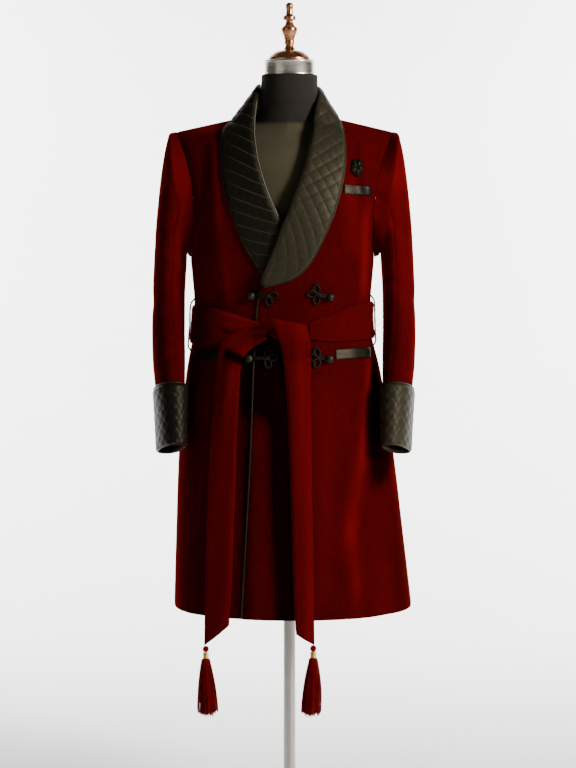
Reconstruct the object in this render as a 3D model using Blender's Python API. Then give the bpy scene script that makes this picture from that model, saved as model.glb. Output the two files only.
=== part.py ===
"""Velvet smoking jacket with a quilted satin shawl collar, worn by a limbless dress form on a pole stand.

Metres, +Z up. The front faces -Y, so +X is the wearer's left. The origin is the centre of the base's underside.
Every cloth piece is a thin wall on a grid of points, worked out from the tables of body and sleeve sections below.
"""

import math
from collections import namedtuple

import bmesh
import bpy
import numpy as np
from mathutils import Vector
from mathutils.bvhtree import BVHTree

# Driving sizes
VELVET = 0.002
QUILT_LOW = 0.003
QUILT_HIGH = 0.0062
BELT_CLOTH = 0.003
BELT_EASE = 0.0028
COLLAR_CLEAR = 0.0028
SEAM = 0.0003
CLEAR = 0.0006
SPINE_Y = 0.004
NECK_HALF = 0.0760
NECK_SCOOP = 0.060
PIPING = 0.0015
PIPING_TOP_Z = 1.092
PIPING_STEPS = 16
CUFF_PIPING_POINTS = 18
WELT_CLEAR = 0.0010
WELT_THICK = 0.0020
STEP = 0.002
CORD = 0.0017

BODY_ROWS_TO_UNDERARM = 9
BODY_ROWS_BELOW = 9
FRONT_COLUMNS = 11
BACK_COLUMNS = 7
SLEEVE_AROUND = 2 * BODY_ROWS_TO_UNDERARM
SLEEVE_ROWS = 12
CUFF_AROUND = 24
CUFF_ROWS = 10
COLLAR_ROWS = 42
COLLAR_FALL_COLUMNS = 9
COLLAR_STAND_COLUMNS = 2
ROLL_LIFT = 0.004
FALL_LIFT = 0.001

HEM_Z = 0.447
FORM_BOTTOM_Z = 0.86
FORM_TOP_Z = 1.530
POLE_RADIUS = 0.0125
BASE_RADIUS = 0.19
BASE_HEIGHT = 0.022

# The body's sections, from the shoulder seam down to the hem. z_front is the height at the front edge, z_back at
# the centre back and z_side at the armhole or side seam. left is the viewer's left. arm is how far the armhole
# edge lies in front of or behind the shoulder line; fullness is the exponent of the rounded outline.
Section = namedtuple(
    "Section", "z_front z_back z_side center left right arm depth_front depth_back fullness"
)
BODY = [
    Section(1.449, 1.464, 1.415, -0.002, -0.2320, 0.2115, 0.000, 0.000, 0.000, 2.20),
    Section(1.430, 1.446, 1.392, -0.003, -0.2220, 0.2020, 0.026, 0.052, 0.078, 2.30),
    Section(1.390, 1.405, 1.350, -0.006, -0.2080, 0.1880, 0.050, 0.086, 0.098, 2.40),
    Section(1.340, 1.355, 1.300, -0.009, -0.1970, 0.1760, 0.066, 0.110, 0.108, 2.40),
    Section(1.285, 1.300, 1.250, -0.011, -0.1930, 0.1700, 0.068, 0.124, 0.112, 2.40),
    Section(1.230, 1.240, 1.198, -0.013, -0.1950, 0.1690, 0.044, 0.130, 0.112, 2.40),
    Section(1.180, 1.185, 1.158, -0.0144, -0.2020, 0.1732, 0.000, 0.131, 0.110, 2.35),
    Section(1.115, 1.115, 1.115, -0.0144, -0.1985, 0.1700, 0.000, 0.125, 0.102, 2.30),
    Section(1.060, 1.060, 1.060, -0.0144, -0.1948, 0.1660, 0.000, 0.117, 0.094, 2.25),
    Section(1.010, 1.010, 1.010, -0.0144, -0.1960, 0.1670, 0.000, 0.117, 0.098, 2.20),
    Section(0.927, 0.927, 0.927, -0.0123, -0.2103, 0.1857, 0.000, 0.127, 0.116, 2.20),
    Section(0.763, 0.763, 0.763, -0.0070, -0.2264, 0.2124, 0.000, 0.146, 0.136, 2.20),
    Section(0.600, 0.600, 0.600, 0.0000, -0.2320, 0.2320, 0.000, 0.160, 0.150, 2.15),
    Section(HEM_Z, HEM_Z, HEM_Z, 0.0070, -0.2360, 0.2500, 0.000, 0.172, 0.158, 2.15),
]
UNDERARM = 6

# Where each front is cut off: along the lapel's roll line and then down the front edge
EdgePoint = namedtuple("EdgePoint", "z over under")
FRONT_EDGE = [
    EdgePoint(1.480, 0.0740, -0.0790),
    EdgePoint(1.462, 0.0740, -0.0790),
    EdgePoint(1.426, 0.0535, -0.0790),
    EdgePoint(1.378, 0.0450, -0.0735),
    EdgePoint(1.334, 0.0340, -0.0645),
    EdgePoint(1.294, 0.0180, -0.0500),
    EdgePoint(1.254, 0.0040, -0.0340),
    EdgePoint(1.226, -0.0100, -0.0200),
    EdgePoint(1.188, -0.0220, -0.0020),
    EdgePoint(1.159, -0.0345, 0.0120),
    EdgePoint(1.127, -0.0470, 0.0260),
    EdgePoint(1.099, -0.0570, 0.0360),
    EdgePoint(1.060, -0.0625, 0.0400),
    EdgePoint(0.946, -0.0695, 0.0480),
    EdgePoint(0.799, -0.0746, 0.0560),
    EdgePoint(HEM_Z, -0.0930, 0.0740),
]

# How far the overlapping front stands out from the shared outline, and the other front sinks, by height
Lap = namedtuple("Lap", "z over under")
LAP = [
    Lap(1.480, 0.0000, 0.0000),
    Lap(1.360, 0.0010, 0.0000),
    Lap(1.280, 0.0050, 0.0020),
    Lap(1.230, 0.0075, 0.0045),
    Lap(1.110, 0.0075, 0.0045),
    Lap(1.060, 0.0020, 0.0020),
    Lap(HEM_Z, 0.0020, 0.0020),
]
LAP_FADE = 0.11

# Soft folds of the body: on the front or back (face -1 or 1), across at x, from top to bottom, this wide and high
Fold = namedtuple("Fold", "face x_top x_bottom top bottom width height")
BODY_FOLDS = [
    Fold(-1, -0.155, -0.150, 1.400, 1.215, 0.013, 0.0045),
    Fold(-1, -0.172, -0.170, 1.380, 1.200, 0.012, -0.0050),
    Fold(-1, 0.142, 0.166, 1.405, 1.240, 0.013, 0.0040),
    Fold(-1, 0.125, 0.150, 1.390, 1.190, 0.014, -0.0040),
    Fold(-1, 0.150, 0.128, 0.820, 0.520, 0.026, 0.0060),
    Fold(-1, 0.185, 0.195, 0.900, 0.450, 0.022, -0.0060),
    Fold(-1, -0.190, -0.205, 0.900, 0.450, 0.024, 0.0050),
    Fold(-1, -0.150, -0.160, 0.930, 0.500, 0.024, -0.0050),
    Fold(1, -0.145, -0.150, 1.380, 1.200, 0.014, 0.0045),
    Fold(1, 0.130, 0.135, 1.390, 1.190, 0.014, 0.0045),
    Fold(1, -0.110, -0.130, 0.960, 0.460, 0.030, 0.0070),
    Fold(1, 0.060, 0.080, 0.940, 0.470, 0.032, 0.0060),
    Fold(1, 0.150, 0.175, 0.900, 0.450, 0.028, 0.0070),
    Fold(1, -0.040, -0.050, 0.900, 0.480, 0.026, -0.0060),
]

# The sleeve's sections, from just outside the armhole down to the wrist. outer and inner are measured from
# ARM_CENTER; rise is how far the outer side is lifted; pitch tips the forearm forward; toe turns the front inward.
ARM_CENTER = -0.0115
SleeveSection = namedtuple("SleeveSection", "z outer inner rise y depth pitch toe")
SLEEVE = [
    SleeveSection(1.284, 0.2360, 0.1945, 0.1230, -0.002, 0.0690, 0, 0),
    SleeveSection(1.266, 0.2450, 0.1960, 0.1010, -0.001, 0.0690, 0, 0),
    SleeveSection(1.228, 0.2550, 0.1980, 0.0640, 0.000, 0.0680, 0, 0),
    SleeveSection(1.178, 0.2625, 0.1990, 0.0320, 0.001, 0.0665, 0, 0),
    SleeveSection(1.128, 0.2662, 0.2010, 0.0120, 0.002, 0.0650, 0, 0),
    SleeveSection(1.070, 0.2690, 0.2025, 0.0000, 0.002, 0.0630, 2, 2),
    SleeveSection(1.010, 0.2697, 0.2020, 0.0000, -0.010, 0.0610, 8, 4),
    SleeveSection(0.950, 0.2675, 0.2000, 0.0000, -0.030, 0.0590, 13, 9),
    SleeveSection(0.895, 0.2610, 0.1990, 0.0000, -0.053, 0.0560, 16, 14),
    SleeveSection(0.836, 0.2560, 0.1995, 0.0000, -0.073, 0.0530, 17, 18),
    SleeveSection(0.780, 0.2520, 0.2000, 0.0000, -0.090, 0.0500, 17, 20),
]
CUFF_TOP = 8.05
CUFF_BOTTOM = 10.1
CUFF_EASE = 0.0019

# Creases of the sleeve: which side faces it (0 outer, 90 front, 180 inner, 270 back), height, lean, width, height
Crease = namedtuple("Crease", "turn half_turn z lean width height")
SLEEVE_CREASES = [
    Crease(75, 70, 1.215, 0.030, 0.014, -0.0040),
    Crease(100, 60, 1.150, -0.020, 0.013, 0.0040),
    Crease(60, 75, 1.085, 0.025, 0.015, -0.0045),
    Crease(85, 60, 1.040, -0.015, 0.013, 0.0040),
    Crease(270, 70, 1.060, 0.020, 0.016, -0.0045),
    Crease(90, 60, 0.960, 0.020, 0.012, -0.0030),
    Crease(280, 70, 1.170, -0.020, 0.016, 0.0040),
]

# The collar, from the centre back to the lapel's tip: the roll line, the outer edge and the depth of the stand.
# A y of None is read from the front panel that the lapel lies on.
CollarSection = namedtuple("CollarSection", "roll_x roll_y roll_z edge_x edge_y edge_z stand")
COLLAR_OVER = [
    CollarSection(-0.002, 0.0670, 1.512, -0.002, 0.108, 1.428, 0.040),
    CollarSection(0.036, 0.0570, 1.512, 0.058, 0.093, 1.431, 0.038),
    CollarSection(0.0585, 0.0260, 1.509, 0.086, 0.048, 1.444, 0.028),
    CollarSection(0.0623, -0.0060, 1.498, 0.0930, 0.006, 1.4490, 0.021),
    CollarSection(0.0560, -0.0350, 1.470, 0.1030, -0.030, 1.4340, 0.018),
    CollarSection(0.0475, None, 1.426, 0.1095, -0.052, 1.4040, 0.008),
    CollarSection(0.0385, None, 1.378, 0.1120, None, 1.3580, 0.006),
    CollarSection(0.0275, None, 1.334, 0.1055, None, 1.3080, 0.006),
    CollarSection(0.0135, None, 1.294, 0.0938, None, 1.2640, 0.006),
    CollarSection(-0.0005, None, 1.254, 0.0778, None, 1.2200, 0.006),
    CollarSection(-0.0145, None, 1.222, 0.0572, None, 1.1760, 0.006),
    CollarSection(-0.0265, None, 1.188, 0.0322, None, 1.1380, 0.006),
    CollarSection(-0.0385, None, 1.159, 0.0036, None, 1.1160, 0.006),
    CollarSection(-0.0500, None, 1.130, -0.0280, None, 1.1060, 0.006),
    CollarSection(-0.0570, None, 1.108, -0.0500, None, 1.1000, 0.006),
]
COLLAR_UNDER = [
    CollarSection(-0.002, 0.0670, 1.512, -0.002, 0.108, 1.428, 0.040),
    CollarSection(-0.040, 0.0570, 1.513, -0.062, 0.093, 1.431, 0.038),
    CollarSection(-0.060, 0.0260, 1.514, -0.094, 0.048, 1.441, 0.030),
    CollarSection(-0.0636, -0.0060, 1.506, -0.1060, 0.006, 1.4460, 0.026),
    CollarSection(-0.0705, -0.0350, 1.470, -0.1240, -0.028, 1.4240, 0.018),
    CollarSection(-0.0735, None, 1.420, -0.1360, -0.055, 1.3900, 0.008),
    CollarSection(-0.0690, None, 1.374, -0.1358, None, 1.3400, 0.006),
    CollarSection(-0.0590, None, 1.330, -0.1285, None, 1.2940, 0.006),
    CollarSection(-0.0460, None, 1.291, -0.1145, None, 1.2480, 0.006),
    CollarSection(-0.0300, None, 1.254, -0.0990, None, 1.2060, 0.006),
    CollarSection(-0.0155, None, 1.222, -0.0800, None, 1.1680, 0.006),
    CollarSection(0.0005, None, 1.192, -0.0620, None, 1.1390, 0.006),
    CollarSection(0.0110, None, 1.170, -0.0535, None, 1.1240, 0.006),
]

# The dress form, from its underside up to the top of its neck
FormSection = namedtuple("FormSection", "z center half front back fullness")
FORM = [
    FormSection(FORM_BOTTOM_Z, -0.008, 0.170, 0.100, 0.094, 2.2),
    FormSection(0.930, -0.010, 0.176, 0.106, 0.100, 2.2),
    FormSection(1.060, -0.012, 0.158, 0.098, 0.078, 2.2),
    FormSection(1.200, -0.012, 0.166, 0.112, 0.095, 2.3),
    FormSection(1.285, -0.010, 0.166, 0.106, 0.098, 2.3),
    FormSection(1.340, -0.009, 0.172, 0.093, 0.094, 2.2),
    FormSection(1.375, -0.008, 0.176, 0.078, 0.086, 2.0),
    FormSection(1.395, -0.007, 0.166, 0.064, 0.078, 1.6),
    FormSection(1.412, -0.006, 0.140, 0.054, 0.070, 1.35),
    FormSection(1.428, -0.004, 0.098, 0.050, 0.062, 1.3),
    FormSection(1.440, -0.002, 0.0710, 0.0505, 0.0570, 1.7),
    FormSection(1.458, -0.001, 0.0618, 0.0530, 0.0550, 1.9),
    FormSection(1.500, 0.000, 0.0584, 0.0570, 0.0575, 2.0),
    FormSection(FORM_TOP_Z, 0.000, 0.0574, 0.0574, 0.0574, 2.0),
]
FORM_AROUND = 24

# The turned copper finial, from its foot on the cap ring up
Turning = namedtuple("Turning", "radius z")
FINIAL = [
    Turning(0.0440, 1.5605),
    Turning(0.0440, 1.5640),
    Turning(0.0390, 1.5700),
    Turning(0.0270, 1.5785),
    Turning(0.0125, 1.5826),
    Turning(0.0082, 1.5920),
    Turning(0.0104, 1.5950),
    Turning(0.0104, 1.5985),
    Turning(0.0096, 1.6010),
    Turning(0.0125, 1.6110),
    Turning(0.0168, 1.6225),
    Turning(0.0168, 1.6262),
    Turning(0.0100, 1.6330),
    Turning(0.0072, 1.6405),
    Turning(0.0130, 1.6445),
    Turning(0.0130, 1.6500),
    Turning(0.0074, 1.6550),
    Turning(0.0070, 1.6650),
    Turning(0.0082, 1.6720),
    Turning(0.0066, 1.6770),
    Turning(0.0025, 1.6795),
]
RING = [
    Turning(0.0545, 1.5303),
    Turning(0.0545, 1.5335),
    Turning(0.0528, 1.5350),
    Turning(0.0528, 1.5560),
    Turning(0.0540, 1.5575),
    Turning(0.0525, 1.5602),
]

# The belt round the waist: its top and bottom by the turn from the front (90 is +X, 180 the back)
BeltPlace = namedtuple("BeltPlace", "turn top bottom")
BELT = [
    BeltPlace(15, 1.0250, 0.9950),
    BeltPlace(24, 1.0380, 0.9930),
    BeltPlace(36, 1.0500, 0.9925),
    BeltPlace(50, 1.0600, 0.9930),
    BeltPlace(90, 1.0660, 0.9940),
    BeltPlace(180, 1.0620, 0.9880),
    BeltPlace(270, 1.0580, 0.9830),
    BeltPlace(312, 1.0570, 0.9860),
    BeltPlace(328, 1.0490, 0.9890),
    BeltPlace(340, 1.0380, 0.9900),
    BeltPlace(348, 1.0300, 0.9920),
]
BELT_COLUMNS = 28
BELT_ROWS = 4
BELT_RIPPLE = 0.0013
BELT_LOOP_RADIUS = 0.0010
LOOP_TURN = 78
LOOP_LOW = 0.0014
LOOP_HIGH = 0.0108

# The belt's two hanging ends. Each row runs from one selvedge to the other; y is None where it lies on the skirt.
TailRow = namedtuple("TailRow", "left_x left_z right_x right_z y")
TAIL_LEFT = [
    TailRow(-0.0360, 1.0350, 0.0330, 1.0210, -0.1380),
    TailRow(-0.0385, 1.0410, 0.0345, 1.0270, -0.1450),
    TailRow(-0.0340, 1.0290, 0.0370, 1.0150, -0.1510),
    TailRow(-0.0215, 0.9990, 0.0405, 0.9960, -0.1490),
    TailRow(-0.0150, 0.9750, 0.0415, 0.9720, -0.1410),
    TailRow(-0.0108, 0.9360, 0.0424, 0.9360, None),
    TailRow(-0.0050, 0.8700, 0.0430, 0.8700, None),
    TailRow(-0.0016, 0.7900, 0.0437, 0.7900, None),
    TailRow(0.0018, 0.7000, 0.0450, 0.7000, None),
    TailRow(0.0052, 0.6000, 0.0468, 0.6000, None),
    TailRow(0.0080, 0.5100, 0.0483, 0.5050, None),
    TailRow(0.0105, 0.4550, 0.0488, 0.4400, None),
    TailRow(0.0127, 0.4209, 0.0490, 0.3994, None),
]
TAIL_RIGHT = [
    TailRow(-0.0470, 1.0250, -0.0450, 0.9980, None),
    TailRow(-0.0860, 1.0180, -0.0660, 0.9850, None),
    TailRow(-0.1180, 1.0060, -0.0840, 0.9700, None),
    TailRow(-0.1370, 0.9890, -0.0930, 0.9560, None),
    TailRow(-0.1430, 0.9560, -0.0975, 0.9340, None),
    TailRow(-0.1500, 0.8850, -0.1010, 0.8750, None),
    TailRow(-0.1580, 0.8000, -0.1045, 0.7950, None),
    TailRow(-0.1620, 0.7100, -0.1070, 0.7050, None),
    TailRow(-0.1650, 0.6100, -0.1110, 0.6050, None),
    TailRow(-0.1680, 0.5000, -0.1145, 0.5000, None),
    TailRow(-0.1690, 0.4300, -0.1175, 0.4560, None),
    TailRow(-0.1695, 0.3880, -0.1194, 0.4327, None),
]
TAIL_COLUMNS = 4
TAIL_BOW = 0.0022
TAIL_WAVE = 0.0010
TAIL_CLEAR = 0.0022
TAIL_OVER_BELT = 0.0105
BELT_LOW_Z = 0.930
BELT_RISE = 0.045
KNOT = Vector((-0.0030, -0.1300, 1.0110))
KNOT_HALF = Vector((0.0330, 0.0145, 0.0165))
KNOT_RINGS = 7
KNOT_SIDES = 12

# Frogs: the middle of the clover, the middle of the ball knot, and the loops. One loop would lie under the lapel.
Frog = namedtuple("Frog", "name x z ball_x ball_z loops")
FROGS = [
    Frog("upper_left", 0.0547, 1.0860, 0.0815, 1.0800, ("up", "down", "back")),
    Frog("upper_right", -0.0425, 1.0835, -0.0765, 1.0825, ("down", "back")),
    Frog("lower_left", 0.0555, 0.9600, 0.0800, 0.9570, ("up", "down", "back")),
    Frog("lower_right", -0.0440, 0.9600, -0.0808, 0.9580, ("up", "down", "back")),
]
LOOP_LONG = 0.0095
LOOP_WIDE = 0.0062
LOOP_POINTS = 8
BALL_RADIUS = 0.0085

# Welts: the corners seen from the front, from the nearer end to the farther one
Welt = namedtuple("Welt", "name near_x near_z far_x far_z height")
WELTS = [
    Welt("welt_breast", 0.1090, 1.2960, 0.1645, 1.2920, 0.0195),
    Welt("welt_hip_left", 0.0915, 0.9655, 0.1640, 0.9665, 0.0205),
    Welt("welt_hip_right", -0.1165, 0.9625, -0.1860, 0.9615, 0.0205),
]
WELT_ROWS = 3
WELT_COLUMNS = 8
ROSETTE = Vector((0.1360, 0.0, 1.3400))
ROSETTE_HALF = (0.0125, 0.0180)
ROSETTE_DEPTH = 0.0095
ROSETTE_RINGS = 4
ROSETTE_SIDES = 15
ROSETTE_PETALS = 5

# Tassels hang from the tips of the belt's ends
Tassel = namedtuple("Tassel", "word x z skirt_x skirt_z")
TASSELS = [
    Tassel("right", -0.1662, 0.3821, -0.1625, 0.2540),
    Tassel("left", 0.0465, 0.3937, 0.0420, 0.2660),
]
TASSEL_BALL = 0.0063
BAND_RADIUS = 0.0060
BAND_HEIGHT = 0.0115
LOCK_RINGS = ((0.0000, 1), (0.0027, 6), (0.0052, 10), (0.0075, 15))
LOCK_SPREAD = 0.0190
LOCK_RADIUS = 0.0010


def smooth_value(xs, ys, x):
    """A smooth curve through the table's values that does not overshoot them."""
    xs = np.asarray(xs, float)
    ys = np.asarray(ys, float)
    if xs[0] > xs[-1]:
        xs, ys = xs[::-1], ys[::-1]
    steps = np.diff(ys) / np.diff(xs)
    slopes = np.empty_like(ys)
    slopes[0], slopes[-1] = steps[0], steps[-1]
    for k in range(1, len(ys) - 1):
        both = steps[k - 1] * steps[k]
        slopes[k] = 2 * both / (steps[k - 1] + steps[k]) if both > 0 else 0.0
    x = min(max(x, xs[0]), xs[-1])
    k = min(int(np.searchsorted(xs, x, side="right")) - 1, len(xs) - 2)
    width = xs[k + 1] - xs[k]
    t = (x - xs[k]) / width
    return float(
        (2 * t**3 - 3 * t**2 + 1) * ys[k]
        + (t**3 - 2 * t**2 + t) * width * slopes[k]
        + (3 * t**2 - 2 * t**3) * ys[k + 1]
        + (t**3 - t**2) * width * slopes[k + 1]
    )


def row_of(table, v):
    """The table's named columns at row number v, which may lie between two rows."""
    places = range(len(table))
    values = [smooth_value(places, [row[c] for row in table], v) for c in range(len(table[0]))]
    return type(table[0])(*values)


def column_at(table, z, column):
    return smooth_value([row.z for row in table], [getattr(row, column) for row in table], z)


def soft_step(t):
    t = min(max(t, 0.0), 1.0)
    return t * t * (3 - 2 * t)


def fold_height(face, x, z):
    """How far the folds lift the body's wall at this place."""
    lift = 0.0
    for fold in BODY_FOLDS:
        if fold.face != face or not fold.bottom - 0.05 < z < fold.top + 0.03:
            continue
        down = (fold.top - z) / (fold.top - fold.bottom)
        middle = fold.x_top + (fold.x_bottom - fold.x_top) * down
        ends = soft_step((z - fold.bottom + 0.05) / 0.08) if fold.bottom > HEM_Z + 0.02 else 1.0
        ends *= soft_step((fold.top + 0.03 - z) / 0.08)
        lift += fold.height * ends * math.exp(-(((x - middle) / fold.width) ** 2))
    return lift


def outline_width(row, side, face):
    """Half width of the rounded outline that passes through the armhole's edge."""
    depth = row.depth_back if face > 0 else row.depth_front
    reach = abs((row.right if side > 0 else row.left) - row.center)
    ratio = min(row.arm / depth, 0.95) if depth > 0.0001 else 0.5
    return reach / (1 - ratio**row.fullness) ** (1 / row.fullness)


def body_point(v, x, side, face, lap=None):
    """The outer surface of the body at row v and across at x. face is -1 in front and 1 behind."""
    row = row_of(BODY, v)
    depth = row.depth_back if face > 0 else row.depth_front
    width = outline_width(row, side, face)
    round_part = max(0.0, 1 - (abs(x - row.center) / width) ** row.fullness) ** (1 / row.fullness)
    y = SPINE_Y + face * depth * round_part
    side_x = row.right if side > 0 else row.left
    if face > 0:
        start_x, start_z = row.center, row.z_back
        neck = math.sqrt(max(0.0, 1 - (x / NECK_HALF) ** 2))
        y += NECK_SCOOP * neck * (1 - soft_step(v))
    else:
        start_x, start_z = column_at(FRONT_EDGE, row.z_front, "over" if lap == "over" else "under"), row.z_front
    along = (x - start_x) / (side_x - start_x)
    if face > 0 and v < 1:
        along = soft_step(along) * (1 - v) + along * v
    z = start_z + (row.z_side - start_z) * along
    if lap:
        fade = soft_step(abs(side_x - x) / LAP_FADE)
        shift = column_at(LAP, z, lap) * fade * min(1.0, v)
        y += -shift if lap == "over" else shift
    edge_fade = soft_step(abs(side_x - x) / 0.02)
    y += face * fold_height(face, x, z) * edge_fade * round_part**0.5
    return Vector((x, y, z))


def panel_grid(side, face, columns, lap=None):
    """Rows of points from the front edge or the centre back out to the armhole and side seam."""
    upper = [UNDERARM * k / BODY_ROWS_TO_UNDERARM for k in range(BODY_ROWS_TO_UNDERARM)]
    last = len(BODY) - 1
    lower = [UNDERARM + (last - UNDERARM) * k / BODY_ROWS_BELOW for k in range(BODY_ROWS_BELOW + 1)]
    grid = []
    for v in upper + lower:
        row = row_of(BODY, v)
        width = outline_width(row, side, face)
        if face > 0:
            first_x = row.center + side * SEAM / 2
        else:
            first_x = column_at(FRONT_EDGE, row.z_front, lap)
        last_x = row.right if side > 0 else row.left

        def turn(x):
            part = (x - row.center) / width
            return math.copysign(math.asin(min(1.0, abs(part)) ** (row.fullness / 2)), part)

        first, end = turn(first_x), turn(last_x)
        line = []
        for c in range(columns + 1):
            angle = first + (end - first) * c / columns
            part = math.copysign(abs(math.sin(angle)) ** (2 / row.fullness), angle)
            x = row.center + width * part
            x = first_x if c == 0 else last_x if c == columns else x
            line.append(body_point(v, x, side, face, lap))
        grid.append(line)
    grid = np.array(grid)
    grid[:, -1, 1] += face * SEAM / 2
    grid[0, :, 1] += face * SEAM / 2
    return grid


def surface_point(x, z, side, lap):
    """The front panel's outer surface at a place seen from the front."""
    low, high = 0.0, float(len(BODY) - 1)
    for _ in range(40):
        middle = (low + high) / 2
        if body_point(middle, x, side, -1, lap).z > z:
            low = middle
        else:
            high = middle
    return body_point(low, x, side, -1, lap)


def grid_normals(grid, closed=False):
    """Unit normals of a grid of points, by differences between neighbours."""
    down = np.gradient(grid, axis=0)
    if closed:
        across = (np.roll(grid, -1, axis=1) - np.roll(grid, 1, axis=1)) / 2
    else:
        across = np.gradient(grid, axis=1)
    normals = np.cross(down, across)
    return normals / np.maximum(np.linalg.norm(normals, axis=2, keepdims=True), 1e-9)


def material(name, color, roughness, metallic=0.0, sheen=0.0):
    made = bpy.data.materials.get(name) or bpy.data.materials.new(name)
    made.use_nodes = True
    shader = made.node_tree.nodes["Principled BSDF"]
    shader.inputs["Base Color"].default_value = (*color, 1.0)
    shader.inputs["Roughness"].default_value = roughness
    shader.inputs["Metallic"].default_value = metallic
    shader.inputs["Sheen Weight"].default_value = sheen
    return made


def velvet():
    return material("velvet", (0.16, 0.006, 0.006), 0.75, sheen=0.6)


def satin():
    return material("satin", (0.012, 0.011, 0.010), 0.35)


def tassel_thread():
    return material("tassel_thread", (0.20, 0.006, 0.008), 0.6)


def gold():
    return material("gold", (0.80, 0.52, 0.16), 0.3, metallic=1.0)


def form_cloth():
    return material("form_cloth", (0.022, 0.019, 0.016), 0.85)


def ring_metal():
    return material("ring_metal", (0.72, 0.66, 0.56), 0.28, metallic=1.0)


def finial_copper():
    return material("finial_copper", (0.52, 0.22, 0.10), 0.3, metallic=1.0)


def stand_metal():
    return material("stand_metal", (0.60, 0.58, 0.54), 0.35, metallic=1.0)


def solid(name, vertices, faces, stuff):
    """One closed object from vertices and faces, with its faces turned outward."""
    mesh = bpy.data.meshes.new(name)
    bm = bmesh.new()
    made = [bm.verts.new(Vector(v)) for v in vertices]
    for face in faces:
        bm.faces.new([made[k] for k in face])
    bmesh.ops.recalc_face_normals(bm, faces=bm.faces)
    if bm.calc_volume(signed=True) < 0:
        bmesh.ops.reverse_faces(bm, faces=bm.faces)
    bm.to_mesh(mesh)
    bm.free()
    mesh.shade_smooth()
    mesh.set_sharp_from_angle(angle=math.radians(40))
    mesh.materials.append(stuff)
    made_object = bpy.data.objects.new(name, mesh)
    bpy.context.scene.collection.objects.link(made_object)
    return made_object


def wall(name, outer, inner, stuff, closed=False, quilted=None, inner_step=1):
    """A wall between an outer and an inner grid. quilted says whether a quad's low corners are its first and third.

    The inner side may use only every inner_step-th row, because it stays plain.
    """
    rows, columns = outer.shape[:2]
    kept = list(range(0, rows, inner_step))
    if kept[-1] != rows - 1:
        kept.append(rows - 1)
    vertices = [tuple(p) for line in outer for p in line]
    base = len(vertices)
    vertices += [tuple(p) for r in kept for p in inner[r]]

    def out(r, c):
        return r * columns + c % columns

    def within(k, c):
        return base + k * columns + c % columns

    faces = []
    spans = columns if closed else columns - 1
    for r in range(rows - 1):
        for c in range(spans):
            quad = [out(r, c), out(r, c + 1), out(r + 1, c + 1), out(r + 1, c)]
            if quilted and quilted(r, c):
                faces += [(quad[0], quad[1], quad[2]), (quad[0], quad[2], quad[3])]
            elif quilted:
                faces += [(quad[1], quad[2], quad[3]), (quad[1], quad[3], quad[0])]
            else:
                faces.append(tuple(quad))
    for k in range(len(kept) - 1):
        for c in range(spans):
            faces.append((within(k, c), within(k + 1, c), within(k + 1, c + 1), within(k, c + 1)))
    for c in range(spans):
        faces.append((out(0, c), within(0, c), within(0, c + 1), out(0, c + 1)))
        last = len(kept) - 1
        faces.append((out(rows - 1, c), out(rows - 1, c + 1), within(last, c + 1), within(last, c)))
    if not closed:
        for c in (0, columns - 1):
            for k in range(len(kept) - 1):
                for r in range(kept[k], kept[k + 1]):
                    fan = (within(k, c), out(r, c), out(r + 1, c))
                    faces.append(fan if c == 0 else fan[::-1])
                close = (within(k, c), out(kept[k + 1], c), within(k + 1, c))
                faces.append(close if c == 0 else close[::-1])
    return solid(name, vertices, faces, stuff)


def ring_faces(rings, sides):
    """Faces between rings of points, with both ends closed."""
    faces = [
        (k * sides + s, k * sides + (s + 1) % sides, (k + 1) * sides + (s + 1) % sides, (k + 1) * sides + s)
        for k in range(rings - 1)
        for s in range(sides)
    ]
    faces.append(tuple(range(sides))[::-1])
    faces.append(tuple(range((rings - 1) * sides, rings * sides)))
    return faces


def tube(name, path, radius, stuff, sides=6, around=False, flatten=1.0):
    """A round cord along a path of points. around closes it into a ring; flatten squashes it along y."""
    path = np.array([tuple(p) for p in path])
    count = len(path)
    if around:
        ahead = np.roll(path, -1, axis=0) - np.roll(path, 1, axis=0)
    else:
        ahead = np.gradient(path, axis=0)
    vertices = []
    for k in range(count):
        direction = Vector(ahead[k]).normalized()
        helper = Vector((0, 1, 0)) if abs(direction.y) < 0.8 else Vector((0, 0, 1))
        first = direction.cross(helper).normalized()
        second = direction.cross(first).normalized()
        for s in range(sides):
            angle = 2 * math.pi * (s + 0.5) / sides
            offset = (first * math.cos(angle) + second * math.sin(angle) * flatten) * radius
            vertices.append(Vector(path[k]) + offset)
    faces = []
    spans = count if around else count - 1
    for k in range(spans):
        for s in range(sides):
            a, b = k * sides, (k + 1) % count * sides
            faces.append((a + s, a + (s + 1) % sides, b + (s + 1) % sides, b + s))
    if not around:
        faces.append(tuple(range(sides))[::-1])
        faces.append(tuple(range((count - 1) * sides, count * sides)))
    return solid(name, vertices, faces, stuff)


def turned(name, profile, sides, stuff, center=(0.0, 0.0)):
    """A turned piece from rows of radius and height, closed at both ends."""
    vertices = []
    for radius, z in profile:
        for s in range(sides):
            angle = 2 * math.pi * s / sides
            vertices.append((center[0] + radius * math.cos(angle), center[1] + radius * math.sin(angle), z))
    return solid(name, vertices, ring_faces(len(profile), sides), stuff)


def outward(grid, normals):
    """Turns a grid's normals so that most of them point away from the body's axis."""
    middle = grid.mean(axis=(0, 1))
    spot = grid[grid.shape[0] // 2, grid.shape[1] // 2]
    direction = normals[grid.shape[0] // 2, grid.shape[1] // 2]
    away = spot - np.array([ARM_CENTER, 0.0, middle[2]])
    return normals if np.dot(direction, away) > 0 else -normals


def body_panel(name, side, face, columns, lap=None):
    grid = panel_grid(side, face, columns, lap)
    normals = outward(grid, grid_normals(grid))
    normals[0, :, 1] = 0.0
    normals[UNDERARM + 3 :, -1, 1] = 0.0
    if face > 0:
        normals[:, 0, 0] = 0.0
    normals /= np.linalg.norm(normals, axis=2, keepdims=True)
    wall(name, grid, grid - normals * VELVET, velvet())
    return grid


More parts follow.
